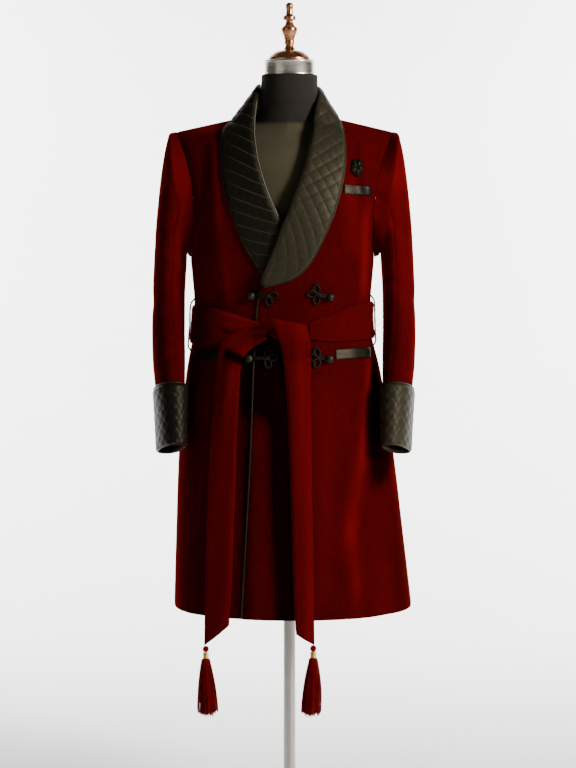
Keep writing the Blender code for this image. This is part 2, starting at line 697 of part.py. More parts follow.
def sleeve_ring(side, v, turns, ease=0.0):
    """One ring of sleeve points. v is a row of SLEEVE; turns are angles from the outer side round the front."""
    row = row_of(SLEEVE, v)
    half = (row.outer - row.inner) / 2 + ease
    middle = (row.outer + row.inner) / 2
    pitch, toe = math.radians(row.pitch), math.radians(row.toe)
    half = math.sqrt(max(half**2 - ((row.depth + ease) * math.sin(toe)) ** 2, 0.0001))
    ring = []
    for turn in turns:
        angle = math.radians(turn)
        square = 2 / 2.25
        across = half * math.copysign(abs(math.cos(angle)) ** square, math.cos(angle))
        ahead = (row.depth + ease) * math.copysign(abs(math.sin(angle)) ** square, math.sin(angle))
        out = across * math.cos(toe) - ahead * math.sin(toe)
        forward = ahead * math.cos(toe) + across * math.sin(toe)
        z = row.z + row.rise * math.cos(angle) + forward * math.sin(pitch)
        y = row.y - forward * math.cos(pitch)
        crease = 0.0
        for fold in SLEEVE_CREASES:
            turned_by = (turn - fold.turn + 180) % 360 - 180
            if abs(turned_by) < fold.half_turn and v > 1.5:
                part = turned_by / fold.half_turn
                off = z - fold.z - fold.lean * part
                crease += fold.height * (1 - part**2) * math.exp(-((off / fold.width) ** 2))
        out += crease * math.cos(angle)
        y -= crease * math.sin(angle)
        ring.append((ARM_CENTER + side * (middle + out), y, z))
    return ring


def sleeve_grid(side, front_panel, back_panel):
    """Rings from the armhole's own edge down to the wrist. Columns start at the shoulder and go round the front."""
    front_edge = front_panel[: BODY_ROWS_TO_UNDERARM + 1, -1]
    back_edge = back_panel[: BODY_ROWS_TO_UNDERARM + 1, -1]
    loop = list(front_edge) + list(back_edge[-2:0:-1])
    armhole = [(p[0] + side * SEAM * 1.5, p[1], p[2]) for p in loop]
    armhole[0] = (armhole[0][0], SPINE_Y, armhole[0][2])
    armhole[BODY_ROWS_TO_UNDERARM] = (
        armhole[BODY_ROWS_TO_UNDERARM][0],
        SPINE_Y,
        armhole[BODY_ROWS_TO_UNDERARM][2],
    )
    turns = [360 * k / SLEEVE_AROUND for k in range(SLEEVE_AROUND)]
    rows = [(len(SLEEVE) - 1) * k / (SLEEVE_ROWS - 1) for k in range(SLEEVE_ROWS)]
    return np.array([armhole] + [sleeve_ring(side, v, turns) for v in rows])


def trimmed(grid, start=True, end=True):
    """Moves the first and last columns inward by half a seam gap."""
    grid = grid.copy()
    if start:
        step = grid[:, 1] - grid[:, 0]
        grid[:, 0] += step / np.linalg.norm(step, axis=1, keepdims=True) * SEAM / 2
    if end:
        step = grid[:, -2] - grid[:, -1]
        grid[:, -1] += step / np.linalg.norm(step, axis=1, keepdims=True) * SEAM / 2
    return grid


def sleeve(side, word, front_panel, back_panel):
    """A tailored sleeve: a top half over the outside of the arm and an under half inside it."""
    grid = sleeve_grid(side, front_panel, back_panel)
    normals = grid_normals(grid, closed=True)
    away = grid - grid.mean(axis=1, keepdims=True)
    normals *= np.sign((normals * away).sum(axis=2).mean())
    first_ring = away[0].copy()
    first_ring[:, 0] = 0.0
    normals[0] = first_ring / np.linalg.norm(first_ring, axis=1, keepdims=True)
    inner = grid - normals * VELVET
    front_seam, back_seam = round(SLEEVE_AROUND * 0.30), round(SLEEVE_AROUND * 0.70)
    top = [k % SLEEVE_AROUND for k in range(back_seam, SLEEVE_AROUND + front_seam + 1)]
    under = list(range(front_seam, back_seam + 1))
    for half, columns in (("top", top), ("under", under)):
        wall(f"sleeve_{half}_{word}", trimmed(grid[:, columns]), trimmed(inner[:, columns]), velvet())


def diamond(r, c):
    """Height of the quilting at a grid point: 1 at a diamond's middle and 0 where the stitch lines cross."""
    return 1.0 if (r + c) % 2 == 0 else 0.0


def cuff(side, word):
    """A turned-back quilted cuff with a piping round its upper edge."""
    turns = [360 * k / CUFF_AROUND for k in range(CUFF_AROUND)]
    rows = [CUFF_TOP + (CUFF_BOTTOM - CUFF_TOP) * k / CUFF_ROWS for k in range(CUFF_ROWS + 1)]
    inner, outer = [], []
    for r, v in enumerate(rows):
        low = sleeve_ring(side, min(v, 10.0), turns, CUFF_EASE)
        high = sleeve_ring(side, min(v, 10.0), turns, CUFF_EASE + QUILT_LOW)
        top = sleeve_ring(side, min(v, 10.0), turns, CUFF_EASE + QUILT_HIGH)
        drop = max(0.0, v - 10.0) * 0.06
        edge = 0.0 if r in (0, CUFF_ROWS) else 1.0
        line = []
        for c in range(CUFF_AROUND):
            raised = diamond(r, c) * edge
            line.append(np.array(high[c]) * (1 - raised) + np.array(top[c]) * raised - (0, 0, drop))
        outer.append(line)
        inner.append([np.array(p) - (0, 0, drop) for p in low])
    stuff = satin()
    wall(
        f"cuff_{word}",
        np.array(outer),
        np.array(inner),
        stuff,
        closed=True,
        quilted=lambda r, c: (r + c) % 2 == 1,
        inner_step=5,
    )
    ease = CUFF_EASE + QUILT_LOW / 2
    ring_turns = [360 * k / CUFF_PIPING_POINTS for k in range(CUFF_PIPING_POINTS)]
    path = [
        Vector(p) + Vector((0, 0, PIPING + SEAM * 2)) for p in sleeve_ring(side, CUFF_TOP, ring_turns, ease)
    ]
    tube(f"cuff_piping_{word}", path, PIPING, stuff, sides=4, around=True)


def section_curve(table, column, t):
    """A collar column at a share t of the way from the centre back to the tip."""
    return smooth_value(range(len(table)), [getattr(row, column) for row in table], t * (len(table) - 1))


def filled_in(table, side, lap):
    """The collar table with its empty places read from the front panel."""
    filled = []
    for row in table:
        roll_y, edge_y = row.roll_y, row.edge_y
        if roll_y is None:
            reach = column_at(FRONT_EDGE, row.roll_z, lap)
            roll_y = surface_point(reach, row.roll_z, side, lap).y - COLLAR_CLEAR
        if edge_y is None:
            edge_y = surface_point(row.edge_x, row.edge_z, side, lap).y - COLLAR_CLEAR
        filled.append(row._replace(roll_y=roll_y, edge_y=edge_y))
    return filled


def collar_line(row, cover):
    """One section of the collar's underside: up the stand, over the roll and down the fall."""
    roll = Vector((row.roll_x, row.roll_y, row.roll_z))
    edge = Vector((row.edge_x, row.edge_y, row.edge_z))
    fall = edge - roll
    lift = min(1.0, row.stand / 0.03)
    down = Vector((0, 0.55 * (1 - lift), -lift - 0.25 * (1 - lift))).normalized()
    points = []
    for k in range(COLLAR_STAND_COLUMNS, 0, -1):
        part = k / COLLAR_STAND_COLUMNS
        ease = fall.normalized() * 0.002 * lift * part
        points.append(roll + down * row.stand * part + ease)
    first = roll + Vector((0, 0, ROLL_LIFT * lift)) + fall * 0.22
    second = edge - fall * 0.30 + Vector((0, -0.002, FALL_LIFT))
    for k in range(COLLAR_FALL_COLUMNS + 1):
        t = k / COLLAR_FALL_COLUMNS
        point = (
            roll * (1 - t) ** 3 + first * 3 * t * (1 - t) ** 2 + second * 3 * t**2 * (1 - t) + edge * t**3
        )
        if k:
            near, normal, _, _ = cover.find_nearest(point)
            height = (point - near).dot(normal)
            if height < COLLAR_CLEAR:
                point = near + normal * COLLAR_CLEAR
        points.append(point)
    return points


def collar(side, word, table, lap, panels):
    """Half of the shawl collar: a padded, quilted satin wall folded over at the roll line, and its piping."""
    cover = cover_tree(panels)
    filled = filled_in(table, side, lap)
    grid = []
    for r in range(COLLAR_ROWS + 1):
        t = r / COLLAR_ROWS
        row = CollarSection(*[section_curve(filled, column, t) for column in CollarSection._fields])
        grid.append([tuple(p) for p in collar_line(row, cover)])
    inner = np.array(grid)
    inner[0, :, 0] = -0.002 + side * SEAM / 2
    normals = grid_normals(inner)
    middle = COLLAR_STAND_COLUMNS + COLLAR_FALL_COLUMNS // 2
    normals *= -np.sign(normals[COLLAR_ROWS // 2, middle, 1])
    normals[0, :, 0] = 0.0
    normals /= np.linalg.norm(normals, axis=2, keepdims=True)
    outer = inner.copy()
    rows, columns = inner.shape[:2]
    for r in range(rows):
        for c in range(columns):
            on_fall = c > COLLAR_STAND_COLUMNS and c < columns - 1 and 0 < r < rows - 1
            thick = QUILT_LOW + (QUILT_HIGH - QUILT_LOW) * diamond(r, c) * on_fall
            outer[r, c] = inner[r, c] + normals[r, c] * thick
    wall(
        f"collar_{word}",
        outer,
        inner,
        satin(),
        quilted=lambda r, c: (r + c) % 2 == 1,
        inner_step=2,
    )
    return outer


def build_body():
    over = body_panel("front_left", 1, -1, FRONT_COLUMNS, "over")
    under = body_panel("front_right", -1, -1, FRONT_COLUMNS, "under")
    back_left = body_panel("back_left", 1, 1, BACK_COLUMNS)
    back_right = body_panel("back_right", -1, 1, BACK_COLUMNS)
    sleeve(1, "left", over, back_left)
    sleeve(-1, "right", under, back_right)
    cuff(1, "left")
    cuff(-1, "right")
    collar(1, "left", COLLAR_OVER, "over", (over, back_left, back_right))
    collar(-1, "right", COLLAR_UNDER, "under", (under, back_left, back_right))
    return cover_tree((over, under))


def cover_tree(grids):
    """A search tree over the outer faces of the panels, turned outward."""
    vertices, faces = [], []
    for grid in grids:
        rows, columns = grid.shape[:2]
        start = len(vertices)
        vertices += [Vector(p) for line in grid for p in line]
        spot = grid[4, columns // 2]
        normal = np.cross(grid[4, columns // 2 + 1] - spot, grid[5, columns // 2] - spot)
        inward = np.dot(normal, spot - np.array([0, 0, spot[2]])) < 0
        for r in range(rows - 1):
            for c in range(columns - 1):
                quad = [start + r * columns + c, start + r * columns + c + 1]
                quad += [start + (r + 1) * columns + c + 1, start + (r + 1) * columns + c]
                faces.append(tuple(quad[::-1] if inward else quad))
    return BVHTree.FromPolygons(vertices, faces)


def front_y(fronts, x, z):
    """The outermost cloth of the two fronts at a place seen from the front."""
    hit = fronts.ray_cast(Vector((x, -1.0, max(z, HEM_Z + 0.001))), Vector((0, 1, 0)))[0]
    return hit.y if hit else SPINE_Y


def belt_point(turn, z, ease):
    """A point round the waist, ease outside the coat. turn is 0 in front and 90 at +X."""
    v = smooth_value([row.z_side for row in BODY], range(len(BODY)), z)
    row = row_of(BODY, v)
    angle = math.radians(turn)
    reach = (row.right if math.sin(angle) > 0 else row.left) - row.center
    depth = row.depth_front + LAP[-1].over if math.cos(angle) > 0 else row.depth_back
    power = 2 / row.fullness
    x = row.center + (abs(reach) + ease) * math.copysign(abs(math.sin(angle)) ** power, math.sin(angle))
    y = SPINE_Y - (depth + ease) * math.copysign(abs(math.cos(angle)) ** power, math.cos(angle))
    return (x, y, z)


def build_belt(fronts):
    """The waistband of the belt, its knot, its two hanging ends and the thread loops at the side seams."""
    first, last = BELT[0].turn, BELT[-1].turn
    turns = [place.turn for place in BELT]
    outer, inner = [], []
    for r in range(BELT_ROWS + 1):
        down = r / BELT_ROWS
        outer_line, inner_line = [], []
        for c in range(BELT_COLUMNS + 1):
            turn = first + (last - first) * c / BELT_COLUMNS
            top = smooth_value(turns, [place.top for place in BELT], turn)
            bottom = smooth_value(turns, [place.bottom for place in BELT], turn)
            z = top + (bottom - top) * down
            ripple = BELT_RIPPLE * (1 + math.sin(2 * math.pi * (1.7 * down + 0.35 * math.sin(math.radians(turn)))))
            inner_line.append(belt_point(turn, z, BELT_EASE))
            outer_line.append(belt_point(turn, z, BELT_EASE + BELT_CLOTH + ripple))
        outer.append(outer_line)
        inner.append(inner_line)
    wall("belt_waist", np.array(outer), np.array(inner), velvet())

    vertices = []
    for k in range(KNOT_RINGS):
        tilt = math.pi * (k + 0.5) / KNOT_RINGS
        wide = math.sin(tilt) ** 0.6
        for s in range(KNOT_SIDES):
            turn = 2 * math.pi * s / KNOT_SIDES
            offset = (math.cos(tilt), wide * math.cos(turn), wide * math.sin(turn))
            vertices.append(KNOT + Vector(offset) * KNOT_HALF)
    faces = ring_faces(KNOT_RINGS, KNOT_SIDES)
    solid("belt_knot", vertices, faces, velvet())

    belt_end("belt_end_left", TAIL_LEFT, fronts)
    belt_end("belt_end_right", TAIL_RIGHT, fronts)
    for word, side, turn in (("left", 1, LOOP_TURN), ("right", -1, 360 - LOOP_TURN)):
        top = smooth_value(turns, [place.top for place in BELT], turn)
        bottom = smooth_value(turns, [place.bottom for place in BELT], turn)
        stops = [
            (0.0, top + 0.0160, LOOP_LOW),
            (0.0, top + 0.0050, LOOP_HIGH - 0.0013),
            (0.6, top - 0.0080, LOOP_HIGH),
            (1.0, (top + bottom) / 2, LOOP_HIGH),
            (0.6, bottom + 0.0080, LOOP_HIGH),
            (0.0, bottom - 0.0050, LOOP_HIGH - 0.0013),
            (0.0, bottom - 0.0160, LOOP_LOW),
        ]
        path = [belt_point(turn + side * drift, z, ease) for drift, z, ease in stops]
        tube(f"belt_loop_{word}", path, BELT_LOOP_RADIUS, velvet(), sides=5)


def belt_end(name, rows, fronts):
    """A hanging end of the belt: a doubled strip of velvet on the skirt, then hanging free below the hem."""
    outer, inner = [], []
    for r in range(2 * len(rows) - 1):
        row = row_of(
            [row._replace(y=row.y if row.y is not None else 0.0) for row in rows], r / 2
        )
        pressed = rows[r // 2].y is not None and rows[(r + 1) // 2].y is not None
        outer_line, inner_line = [], []
        for c in range(TAIL_COLUMNS + 1):
            part = c / TAIL_COLUMNS
            x = row.left_x + (row.right_x - row.left_x) * part
            z = row.left_z + (row.right_z - row.left_z) * part
            bow = TAIL_BOW * math.sin(math.pi * part) + TAIL_WAVE * math.sin(3 * math.pi * part + r * 0.4)
            if pressed:
                y = row.y - bow
            else:
                over_belt = soft_step((z - BELT_LOW_Z) / BELT_RISE)
                y = front_y(fronts, x, z) - TAIL_CLEAR - bow - TAIL_OVER_BELT * over_belt
            outer_line.append((x, y - BELT_CLOTH, z))
            inner_line.append((x, y, z))
        outer.append(outer_line)
        inner.append(inner_line)
    wall(name, np.array(outer), np.array(inner), velvet(), inner_step=2)


def build_frogs(fronts):
    """Four clover-shaped frogs of satin cord, each with its ball knot."""
    stuff = satin()
    for frog in FROGS:
        def seated(point, height, reach=0.0):
            spots = (point.x - reach, point.x, point.x + reach)
            return Vector((point.x, min(front_y(fronts, x, point.z) for x in spots) - height, point.z))

        away = 1 if frog.ball_x > frog.x else -1
        center = Vector((frog.x, 0, frog.z))
        direction = Vector((frog.ball_x - frog.x, 0, frog.ball_z - frog.z))
        parts = []
        for word, long_way in (
            ("up", Vector((-0.12 * away, 0, 1))),
            ("down", Vector((-0.12 * away, 0, -1))),
            ("back", Vector((-away, 0, 0.1))),
        ):
            if word not in frog.loops:
                continue
            long_way = long_way.normalized()
            wide_way = Vector((long_way.z, 0, -long_way.x))
            reach = LOOP_LONG + 0.0005
            path = []
            for k in range(LOOP_POINTS):
                angle = 2 * math.pi * k / LOOP_POINTS
                along = long_way * (reach + LOOP_LONG * math.cos(angle))
                across = wide_way * LOOP_WIDE * math.sin(angle)
                path.append(seated(center + along + across, CLEAR + CORD))
            parts.append(tube(f"guide_{frog.name}_{word}", path, CORD, stuff, sides=4, around=True))
        stop = center + direction - direction.normalized() * (BALL_RADIUS + SEAM)
        stem = [seated(center + (stop - center) * k / 3, PIPING + CORD * 1.2, 0.008) for k in range(4)]
        parts.append(tube(f"guide_{frog.name}_stem", stem, CORD * 1.2, stuff, sides=5))
        body = turned_button(f"frog_{frog.name}", seated(center, CLEAR + 0.0020), 0.0042, 0.0024, stuff)
        for part in parts:
            part.hide_render = True
            part.display_type = "WIRE"
            union = body.modifiers.new(part.name, "BOOLEAN")
            union.operation = "UNION"
            union.solver = "EXACT"
            union.object = part
        ball = seated(Vector((frog.ball_x, 0, frog.ball_z)), BALL_RADIUS * 0.8 + CLEAR, 0.002)
        ball_knot(f"ball_knot_{frog.name}", ball, BALL_RADIUS, stuff)


def turned_button(name, center, radius, half, stuff):
    """A small flat disc that faces the front."""
    sides = 8
    vertices = []
    for y, scale in ((-half, 0.7), (0.0, 1.0), (half * 0.6, 0.8)):
        for s in range(sides):
            angle = 2 * math.pi * (s + 0.25) / sides
            vertices.append(
                center + Vector((radius * scale * math.cos(angle), y, radius * scale * math.sin(angle)))
            )
    return solid(name, vertices, ring_faces(3, sides), stuff)


def ball_knot(name, center, radius, stuff, flat=0.8):
    """A ball of cord, slightly flattened towards the cloth."""
    sides, rings = 9, 6
    vertices = []
    for k in range(1, rings):
        angle = math.pi * k / rings
        for s in range(sides):
            turn = 2 * math.pi * s / sides
            vertices.append(
                center
                + Vector(
                    (
                        radius * math.sin(angle) * math.cos(turn),
                        radius * flat * math.cos(angle),
                        radius * math.sin(angle) * math.sin(turn),
                    )
                )
            )
    vertices += [center + Vector((0, radius * flat, 0)), center - Vector((0, radius * flat, 0))]
    top, bottom = len(vertices) - 2, len(vertices) - 1
    faces = []
    for k in range(rings - 2):
        for s in range(sides):
            a, b = k * sides, (k + 1) * sides
            faces.append((a + s, a + (s + 1) % sides, b + (s + 1) % sides, b + s))
    for s in range(sides):
        faces.append((top, (s + 1) % sides, s))
        last = (rings - 2) * sides
        faces.append((bottom, last + s, last + (s + 1) % sides))
    return solid(name, vertices, faces, stuff)


def build_trim(fronts):
    """The front edge's piping, the pocket welts and the puffed rosette above the breast pocket."""
    stuff = satin()
    path = []
    for k in range(PIPING_STEPS + 1):
        z = PIPING_TOP_Z + (HEM_Z + 0.002 - PIPING_TOP_Z) * k / PIPING_STEPS
        x = column_at(FRONT_EDGE, z, "over")
        y = surface_point(x, z, -1, "over").y
        path.append((x - PIPING - SEAM, y + VELVET / 2, z))
    tube("front_piping", path, PIPING, stuff, sides=5)
    for welt in WELTS:
        outer, inner = [], []
        for r in range(WELT_ROWS + 1):
            rise = welt.height * (0.5 - r / WELT_ROWS)
            outer_line, inner_line = [], []
            for c in range(WELT_COLUMNS + 1):
                part = c / WELT_COLUMNS
                x = welt.near_x + (welt.far_x - welt.near_x) * part
                z = welt.near_z + (welt.far_z - welt.near_z) * part + rise
                y = front_y(fronts, x, z)
                slope = (front_y(fronts, x + STEP, z) - front_y(fronts, x - STEP, z)) / (2 * STEP)
                lean = min(math.hypot(1, slope), 2.5)
                inner_line.append((x, y - WELT_CLEAR * lean, z))
                outer_line.append((x, y - (WELT_CLEAR + WELT_THICK) * lean, z))
            outer.append(outer_line)
            inner.append(inner_line)
        wall(welt.name, np.array(outer), np.array(inner), stuff)
    vertices = []
    for k in range(ROSETTE_RINGS):
        reach = 1 - k / ROSETTE_RINGS
        for s in range(ROSETTE_SIDES):
            turn = 2 * math.pi * s / ROSETTE_SIDES
            lobes = math.cos(ROSETTE_PETALS * turn)
            ruffle = 1 + 0.10 * lobes * (1 if k < 3 else 0.4)
            gather = 0.0012 * math.cos(ROSETTE_PETALS * turn + k)
            rise = ROSETTE_DEPTH * math.sqrt(max(0.0, 1 - reach**2)) + gather
            x = ROSETTE.x + ROSETTE_HALF[0] * reach * ruffle * math.cos(turn)
            z = ROSETTE.z + ROSETTE_HALF[1] * reach * ruffle * math.sin(turn)
            seat = front_y(fronts, x, z) - WELT_CLEAR
            vertices.append((x, seat - (rise + CLEAR if k else 0.0), z))
    solid("rosette", vertices, ring_faces(ROSETTE_RINGS, ROSETTE_SIDES), stuff)


def build_tassels(fronts):
    """Two tassels: a small ball, a gold band and a skirt of locks fused at their roots into a round head."""
    for tassel in TASSELS:
        y = front_y(fronts, tassel.x, HEM_Z) - 0.0032
        top = Vector((tassel.x, y, tassel.z))
        ball_knot(f"tassel_ball_{tassel.word}", top, TASSEL_BALL, tassel_thread(), flat=1.0)
        band_top = tassel.z - TASSEL_BALL - SEAM
        band = [
            (BAND_RADIUS * 0.82, band_top),
            (BAND_RADIUS, band_top - 0.0015),
            (BAND_RADIUS, band_top - BAND_HEIGHT + 0.0015),
            (BAND_RADIUS * 0.9, band_top - BAND_HEIGHT),
        ]
        turned(f"tassel_band_{tassel.word}", band, 12, gold(), (tassel.x, y))
        head_top = band_top - BAND_HEIGHT - SEAM
        head = [
            (0.0062, head_top),
            (0.0086, head_top - 0.0020),
            (0.0092, head_top - 0.0050),
        ]
        skirt = turned(f"tassel_{tassel.word}", head, 14, tassel_thread(), (tassel.x, y))
        vertices, faces = [], []
        number = 0
        for ring_radius, count in LOCK_RINGS:
            for k in range(count):
                number += 1
                turn = 2 * math.pi * (k + 0.08 * math.sin(number * 1.7)) / count
                share = ring_radius / LOCK_RINGS[-1][0]
                drop = head_top - 0.0035 - tassel.skirt_z
                uneven = 0.0050 * math.sin(number * 2.4)
                start = len(vertices)
                for down, spread, thick in ((0.0, 0.0, 1.0), (0.35, 0.55, 1.5), (1.0, 1.0, 1.3)):
                    middle_radius = ring_radius + (LOCK_SPREAD * share - ring_radius) * spread
                    lean = (tassel.skirt_x - tassel.x) * down
                    z = head_top - 0.0035 - (drop + uneven) * down
                    for corner in range(3):
                        angle = turn + 2 * math.pi * corner / 3
                        vertices.append(
                            (
                                tassel.x
                                + lean
                                + middle_radius * math.cos(turn)
                                + LOCK_RADIUS * thick * math.cos(angle),
                                y + middle_radius * math.sin(turn) + LOCK_RADIUS * thick * math.sin(angle),
                                z,
                            )
                        )
                for level in range(2):
                    for corner in range(3):
                        a = start + level * 3
                        b = a + 3
                        faces.append((a + corner, a + (corner + 1) % 3, b + (corner + 1) % 3, b + corner))
                faces.append((start, start + 2, start + 1))
                faces.append((start + 6, start + 7, start + 8))
        locks = solid(f"guide_locks_{tassel.word}", vertices, faces, tassel_thread())
        locks.hide_render = True
        locks.display_type = "WIRE"
        union = skirt.modifiers.new("locks", "BOOLEAN")
        union.operation = "UNION"
        union.solver = "EXACT"
        union.object = locks


def build_form():
    """The dress form: a smooth torso with its neck, the cap ring, the finial, the pole and the base."""
    vertices = []
    for section in FORM:
        power = 2 / section.fullness
        for k in range(FORM_AROUND):
            angle = 2 * math.pi * k / FORM_AROUND
            depth = section.front if math.cos(angle) > 0 else section.back
            vertices.append(
                (
                    section.center + section.half * math.copysign(abs(math.sin(angle)) ** power, math.sin(angle)),
                    SPINE_Y * (1 if section.z < 1.47 else 0.0)
                    - depth * math.copysign(abs(math.cos(angle)) ** power, math.cos(angle)),
                    section.z,
                )
            )
    solid("form_torso", vertices, ring_faces(len(FORM), FORM_AROUND), form_cloth())
    turned("neck_cap_ring", RING, 24, ring_metal())
    turned("finial", FINIAL, 12, finial_copper())
    pole = [
        (POLE_RADIUS * 1.6, BASE_HEIGHT + SEAM),
        (POLE_RADIUS * 1.6, BASE_HEIGHT + 0.030),
        (POLE_RADIUS, BASE_HEIGHT + 0.036),
        (POLE_RADIUS, FORM_BOTTOM_Z - SEAM),
    ]
    turned("stand_pole", pole, 12, stand_metal())
    base = [
        (BASE_RADIUS, 0.0),
        (BASE_RADIUS, 0.008),
        (BASE_RADIUS - 0.010, 0.014),
        (BASE_RADIUS * 0.35, BASE_HEIGHT),
    ]
    turned("stand_base", base, 28, stand_metal())


def main():
    for old in list(bpy.data.objects):
        bpy.data.objects.remove(old, do_unlink=True)
    build_form()
    fronts = build_body()
    build_belt(fronts)
    build_frogs(fronts)
    build_trim(fronts)
    build_tassels(fronts)


main()
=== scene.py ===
"""A velvet smoking jacket with a quilted satin shawl collar, on a limbless dress form with a pole stand."""

import math
from collections import namedtuple

import bmesh
import bpy
import numpy as np
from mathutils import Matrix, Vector
from mathutils.bvhtree import BVHTree


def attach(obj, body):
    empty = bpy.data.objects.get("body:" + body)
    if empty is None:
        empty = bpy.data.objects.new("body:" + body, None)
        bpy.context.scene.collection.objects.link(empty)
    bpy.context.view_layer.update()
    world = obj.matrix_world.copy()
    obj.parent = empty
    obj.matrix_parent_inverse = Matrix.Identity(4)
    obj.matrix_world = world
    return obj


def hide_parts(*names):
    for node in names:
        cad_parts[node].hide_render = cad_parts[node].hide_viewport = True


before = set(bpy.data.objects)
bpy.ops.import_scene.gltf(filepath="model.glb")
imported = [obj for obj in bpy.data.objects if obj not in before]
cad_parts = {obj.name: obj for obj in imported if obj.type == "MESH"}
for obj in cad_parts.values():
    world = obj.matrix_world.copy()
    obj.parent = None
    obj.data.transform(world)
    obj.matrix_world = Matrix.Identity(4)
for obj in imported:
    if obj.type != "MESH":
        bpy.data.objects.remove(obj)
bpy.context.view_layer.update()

# The camera stands four metres in front of the coat, level at chest height, with its lens shifted down so
# that upright lines stay upright, as in the photograph. Its picture is 576 by 768 pixels, and one pixel is
# 2.05 mm wide at the middle of the coat.
EYE_X = -0.003
EYE_HEIGHT = 1.25
EYE_DISTANCE = 4.0
PIXEL = 0.00205
PICTURE_HEIGHT = 768
HORIZON_ROW = 212

camera_lens = bpy.data.cameras.new("camera")
camera_lens.lens = camera_lens.sensor_width * EYE_DISTANCE / (PIXEL * PICTURE_HEIGHT)
camera_lens.shift_y = HORIZON_ROW / PICTURE_HEIGHT - 0.5
camera = bpy.data.objects.new("camera", camera_lens)
bpy.context.scene.collection.objects.link(camera)
camera.location = (EYE_X, -EYE_DISTANCE, EYE_HEIGHT)
camera.rotation_euler = (math.pi / 2, 0, 0)
bpy.context.scene.camera = camera


# How every piece is made: a finish is one shader whose sums are written as plain expressions, and a piece
# is a mesh from points and faces, most often from a grid of points.
class Shade:
    """A value or colour inside a finish, so that shader sums can be written as plain expressions."""

    def __init__(self, finish, socket):
        self.finish = finish
        self.socket = socket

    def through(self, operation, *others):
        """One sum of this value and the others."""
        sockets = dict(enumerate((self, *others)))
        return self.finish.node("ShaderNodeMath", {"operation": operation}, sockets)

    def __add__(self, other):
        return self.through("ADD", other)

    def __mul__(self, other):
        return self.through("MULTIPLY", other)

    def __sub__(self, other):
        return self.through("SUBTRACT", other)

    def __rsub__(self, other):
        return self.finish.node("ShaderNodeMath", {"operation": "SUBTRACT"}, {0: other, 1: self})

    __radd__ = __add__
    __rmul__ = __mul__


class Finish:
    """A surface finish: one shader with its constant values, and the nodes that vary it over the surface."""

    def __init__(self, name, constants):
        self.material = bpy.data.materials.new(name)
        self.material.use_nodes = True
        self.tree = self.material.node_tree
        self.shader = self.tree.nodes["Principled BSDF"]
        for socket, value in constants.items():
            self.shader.inputs[socket].default_value = value

    def node(self, kind, settings, sockets, output=0):
        """One node with its settings, and the values or links of its sockets."""
        made = self.tree.nodes.new(kind)
        for word, value in settings.items():
            setattr(made, word, value)
        for socket, value in sockets.items():
            if isinstance(value, Shade):
                self.tree.links.new(value.socket, made.inputs[socket])
            else:
                made.inputs[socket].default_value = value
        return Shade(self, made.outputs[output])

    def place(self, stretch=(1, 1, 1)):
        """Where the point is on the object, in metres, stretched along each axis."""
        spot = self.node("ShaderNodeTexCoord", {}, {}, output="Object")
        return self.node("ShaderNodeVectorMath", {"operation": "MULTIPLY"}, {0: spot, 1: stretch})

    def cloth_place(self):
        """Where the point is on the cloth, from the map that the piece carries."""
        return self.node("ShaderNodeUVMap", {"uv_map": "cloth"}, {})

    def part(self, vector, axis):
        """The X, Y or Z of a place."""
        return self.node("ShaderNodeSeparateXYZ", {}, {0: vector}, output=axis)

    def noise(self, stretch, detail=2.0, rough=0.5):
        """Uneven grey, about as many spots to the metre as the stretch says."""
        sockets = {"Vector": self.place(stretch), "Scale": 1.0, "Detail": detail, "Roughness": rough}
        return self.node("ShaderNodeTexNoise", {}, sockets)

    def between(self, amount, first, second):
        """A colour from the first, where the amount is 0, to the second, where it is 1."""
        return self.node("ShaderNodeMix", {"data_type": "RGBA"}, {0: amount, 6: first, 7: second}, output=2)

    def spread(self, value, low, high):
        """The value stretched so that low becomes 0 and high becomes 1, and kept between them."""
        return self.node("ShaderNodeMapRange", {}, {"Value": value, "From Min": low, "From Max": high})

    def paint(self, socket, value):
        """Feeds one socket of the shader."""
        self.tree.links.new(value.socket, self.shader.inputs[socket])

    def relief(self, height, depth):
        """Shades the surface as if it stood this much out where height is 1."""
        bump = self.node("ShaderNodeBump", {}, {"Height": height, "Distance": depth, "Strength": 1.0})
        self.paint("Normal", bump)


def color(red, green, blue):
    return (red, green, blue, 1.0)


def make_object(name, points, faces, finish, cloth_map=None, around=0.0, sharp=50):
    """One object from points and faces, turned outward. cloth_map gives each point's place on the cloth, or
    on velvet its painted light and shade.
    """
    mesh = bpy.data.meshes.new(name)
    mesh.from_pydata([tuple(point) for point in points], [], [tuple(face) for face in faces])
    work = bmesh.new()
    work.from_mesh(mesh)
    bmesh.ops.recalc_face_normals(work, faces=work.faces)
    if work.calc_volume(signed=True) < 0:
        bmesh.ops.reverse_faces(work, faces=work.faces)
    work.to_mesh(mesh)
    work.free()
    mesh.shade_smooth()
    mesh.set_sharp_from_angle(angle=math.radians(sharp))
    if cloth_map is not None:
        corner_points = np.empty(len(mesh.loops), int)
        mesh.loops.foreach_get("vertex_index", corner_points)
        places = np.asarray(cloth_map, float)[corner_points].reshape(-1, 4, 2)
        if around:
            wraps = np.ptp(places[:, :, 0], axis=1) > around / 2
            places[wraps, :, 0] += np.where(places[wraps, :, 0] < around / 2, around, 0.0)
        mesh.uv_layers.new(name="cloth").data.foreach_set("uv", places.ravel())
    mesh.materials.append(finish.material)
    made = bpy.data.objects.new(name, mesh)
    bpy.context.scene.collection.objects.link(made)
    return made


def grid_faces(rows, columns, start=0, round_about=False):
    """The quads of a grid of points, which closes on itself across when it runs round about."""
    r, c = np.meshgrid(np.arange(rows - 1), np.arange(columns if round_about else columns - 1), indexing="ij")
    after = (c + 1) % columns
    low, high = r * columns, (r + 1) * columns
    quads = np.stack([low + c, low + after, high + after, high + c], -1)
    return (start + quads.reshape(-1, 4)).tolist()


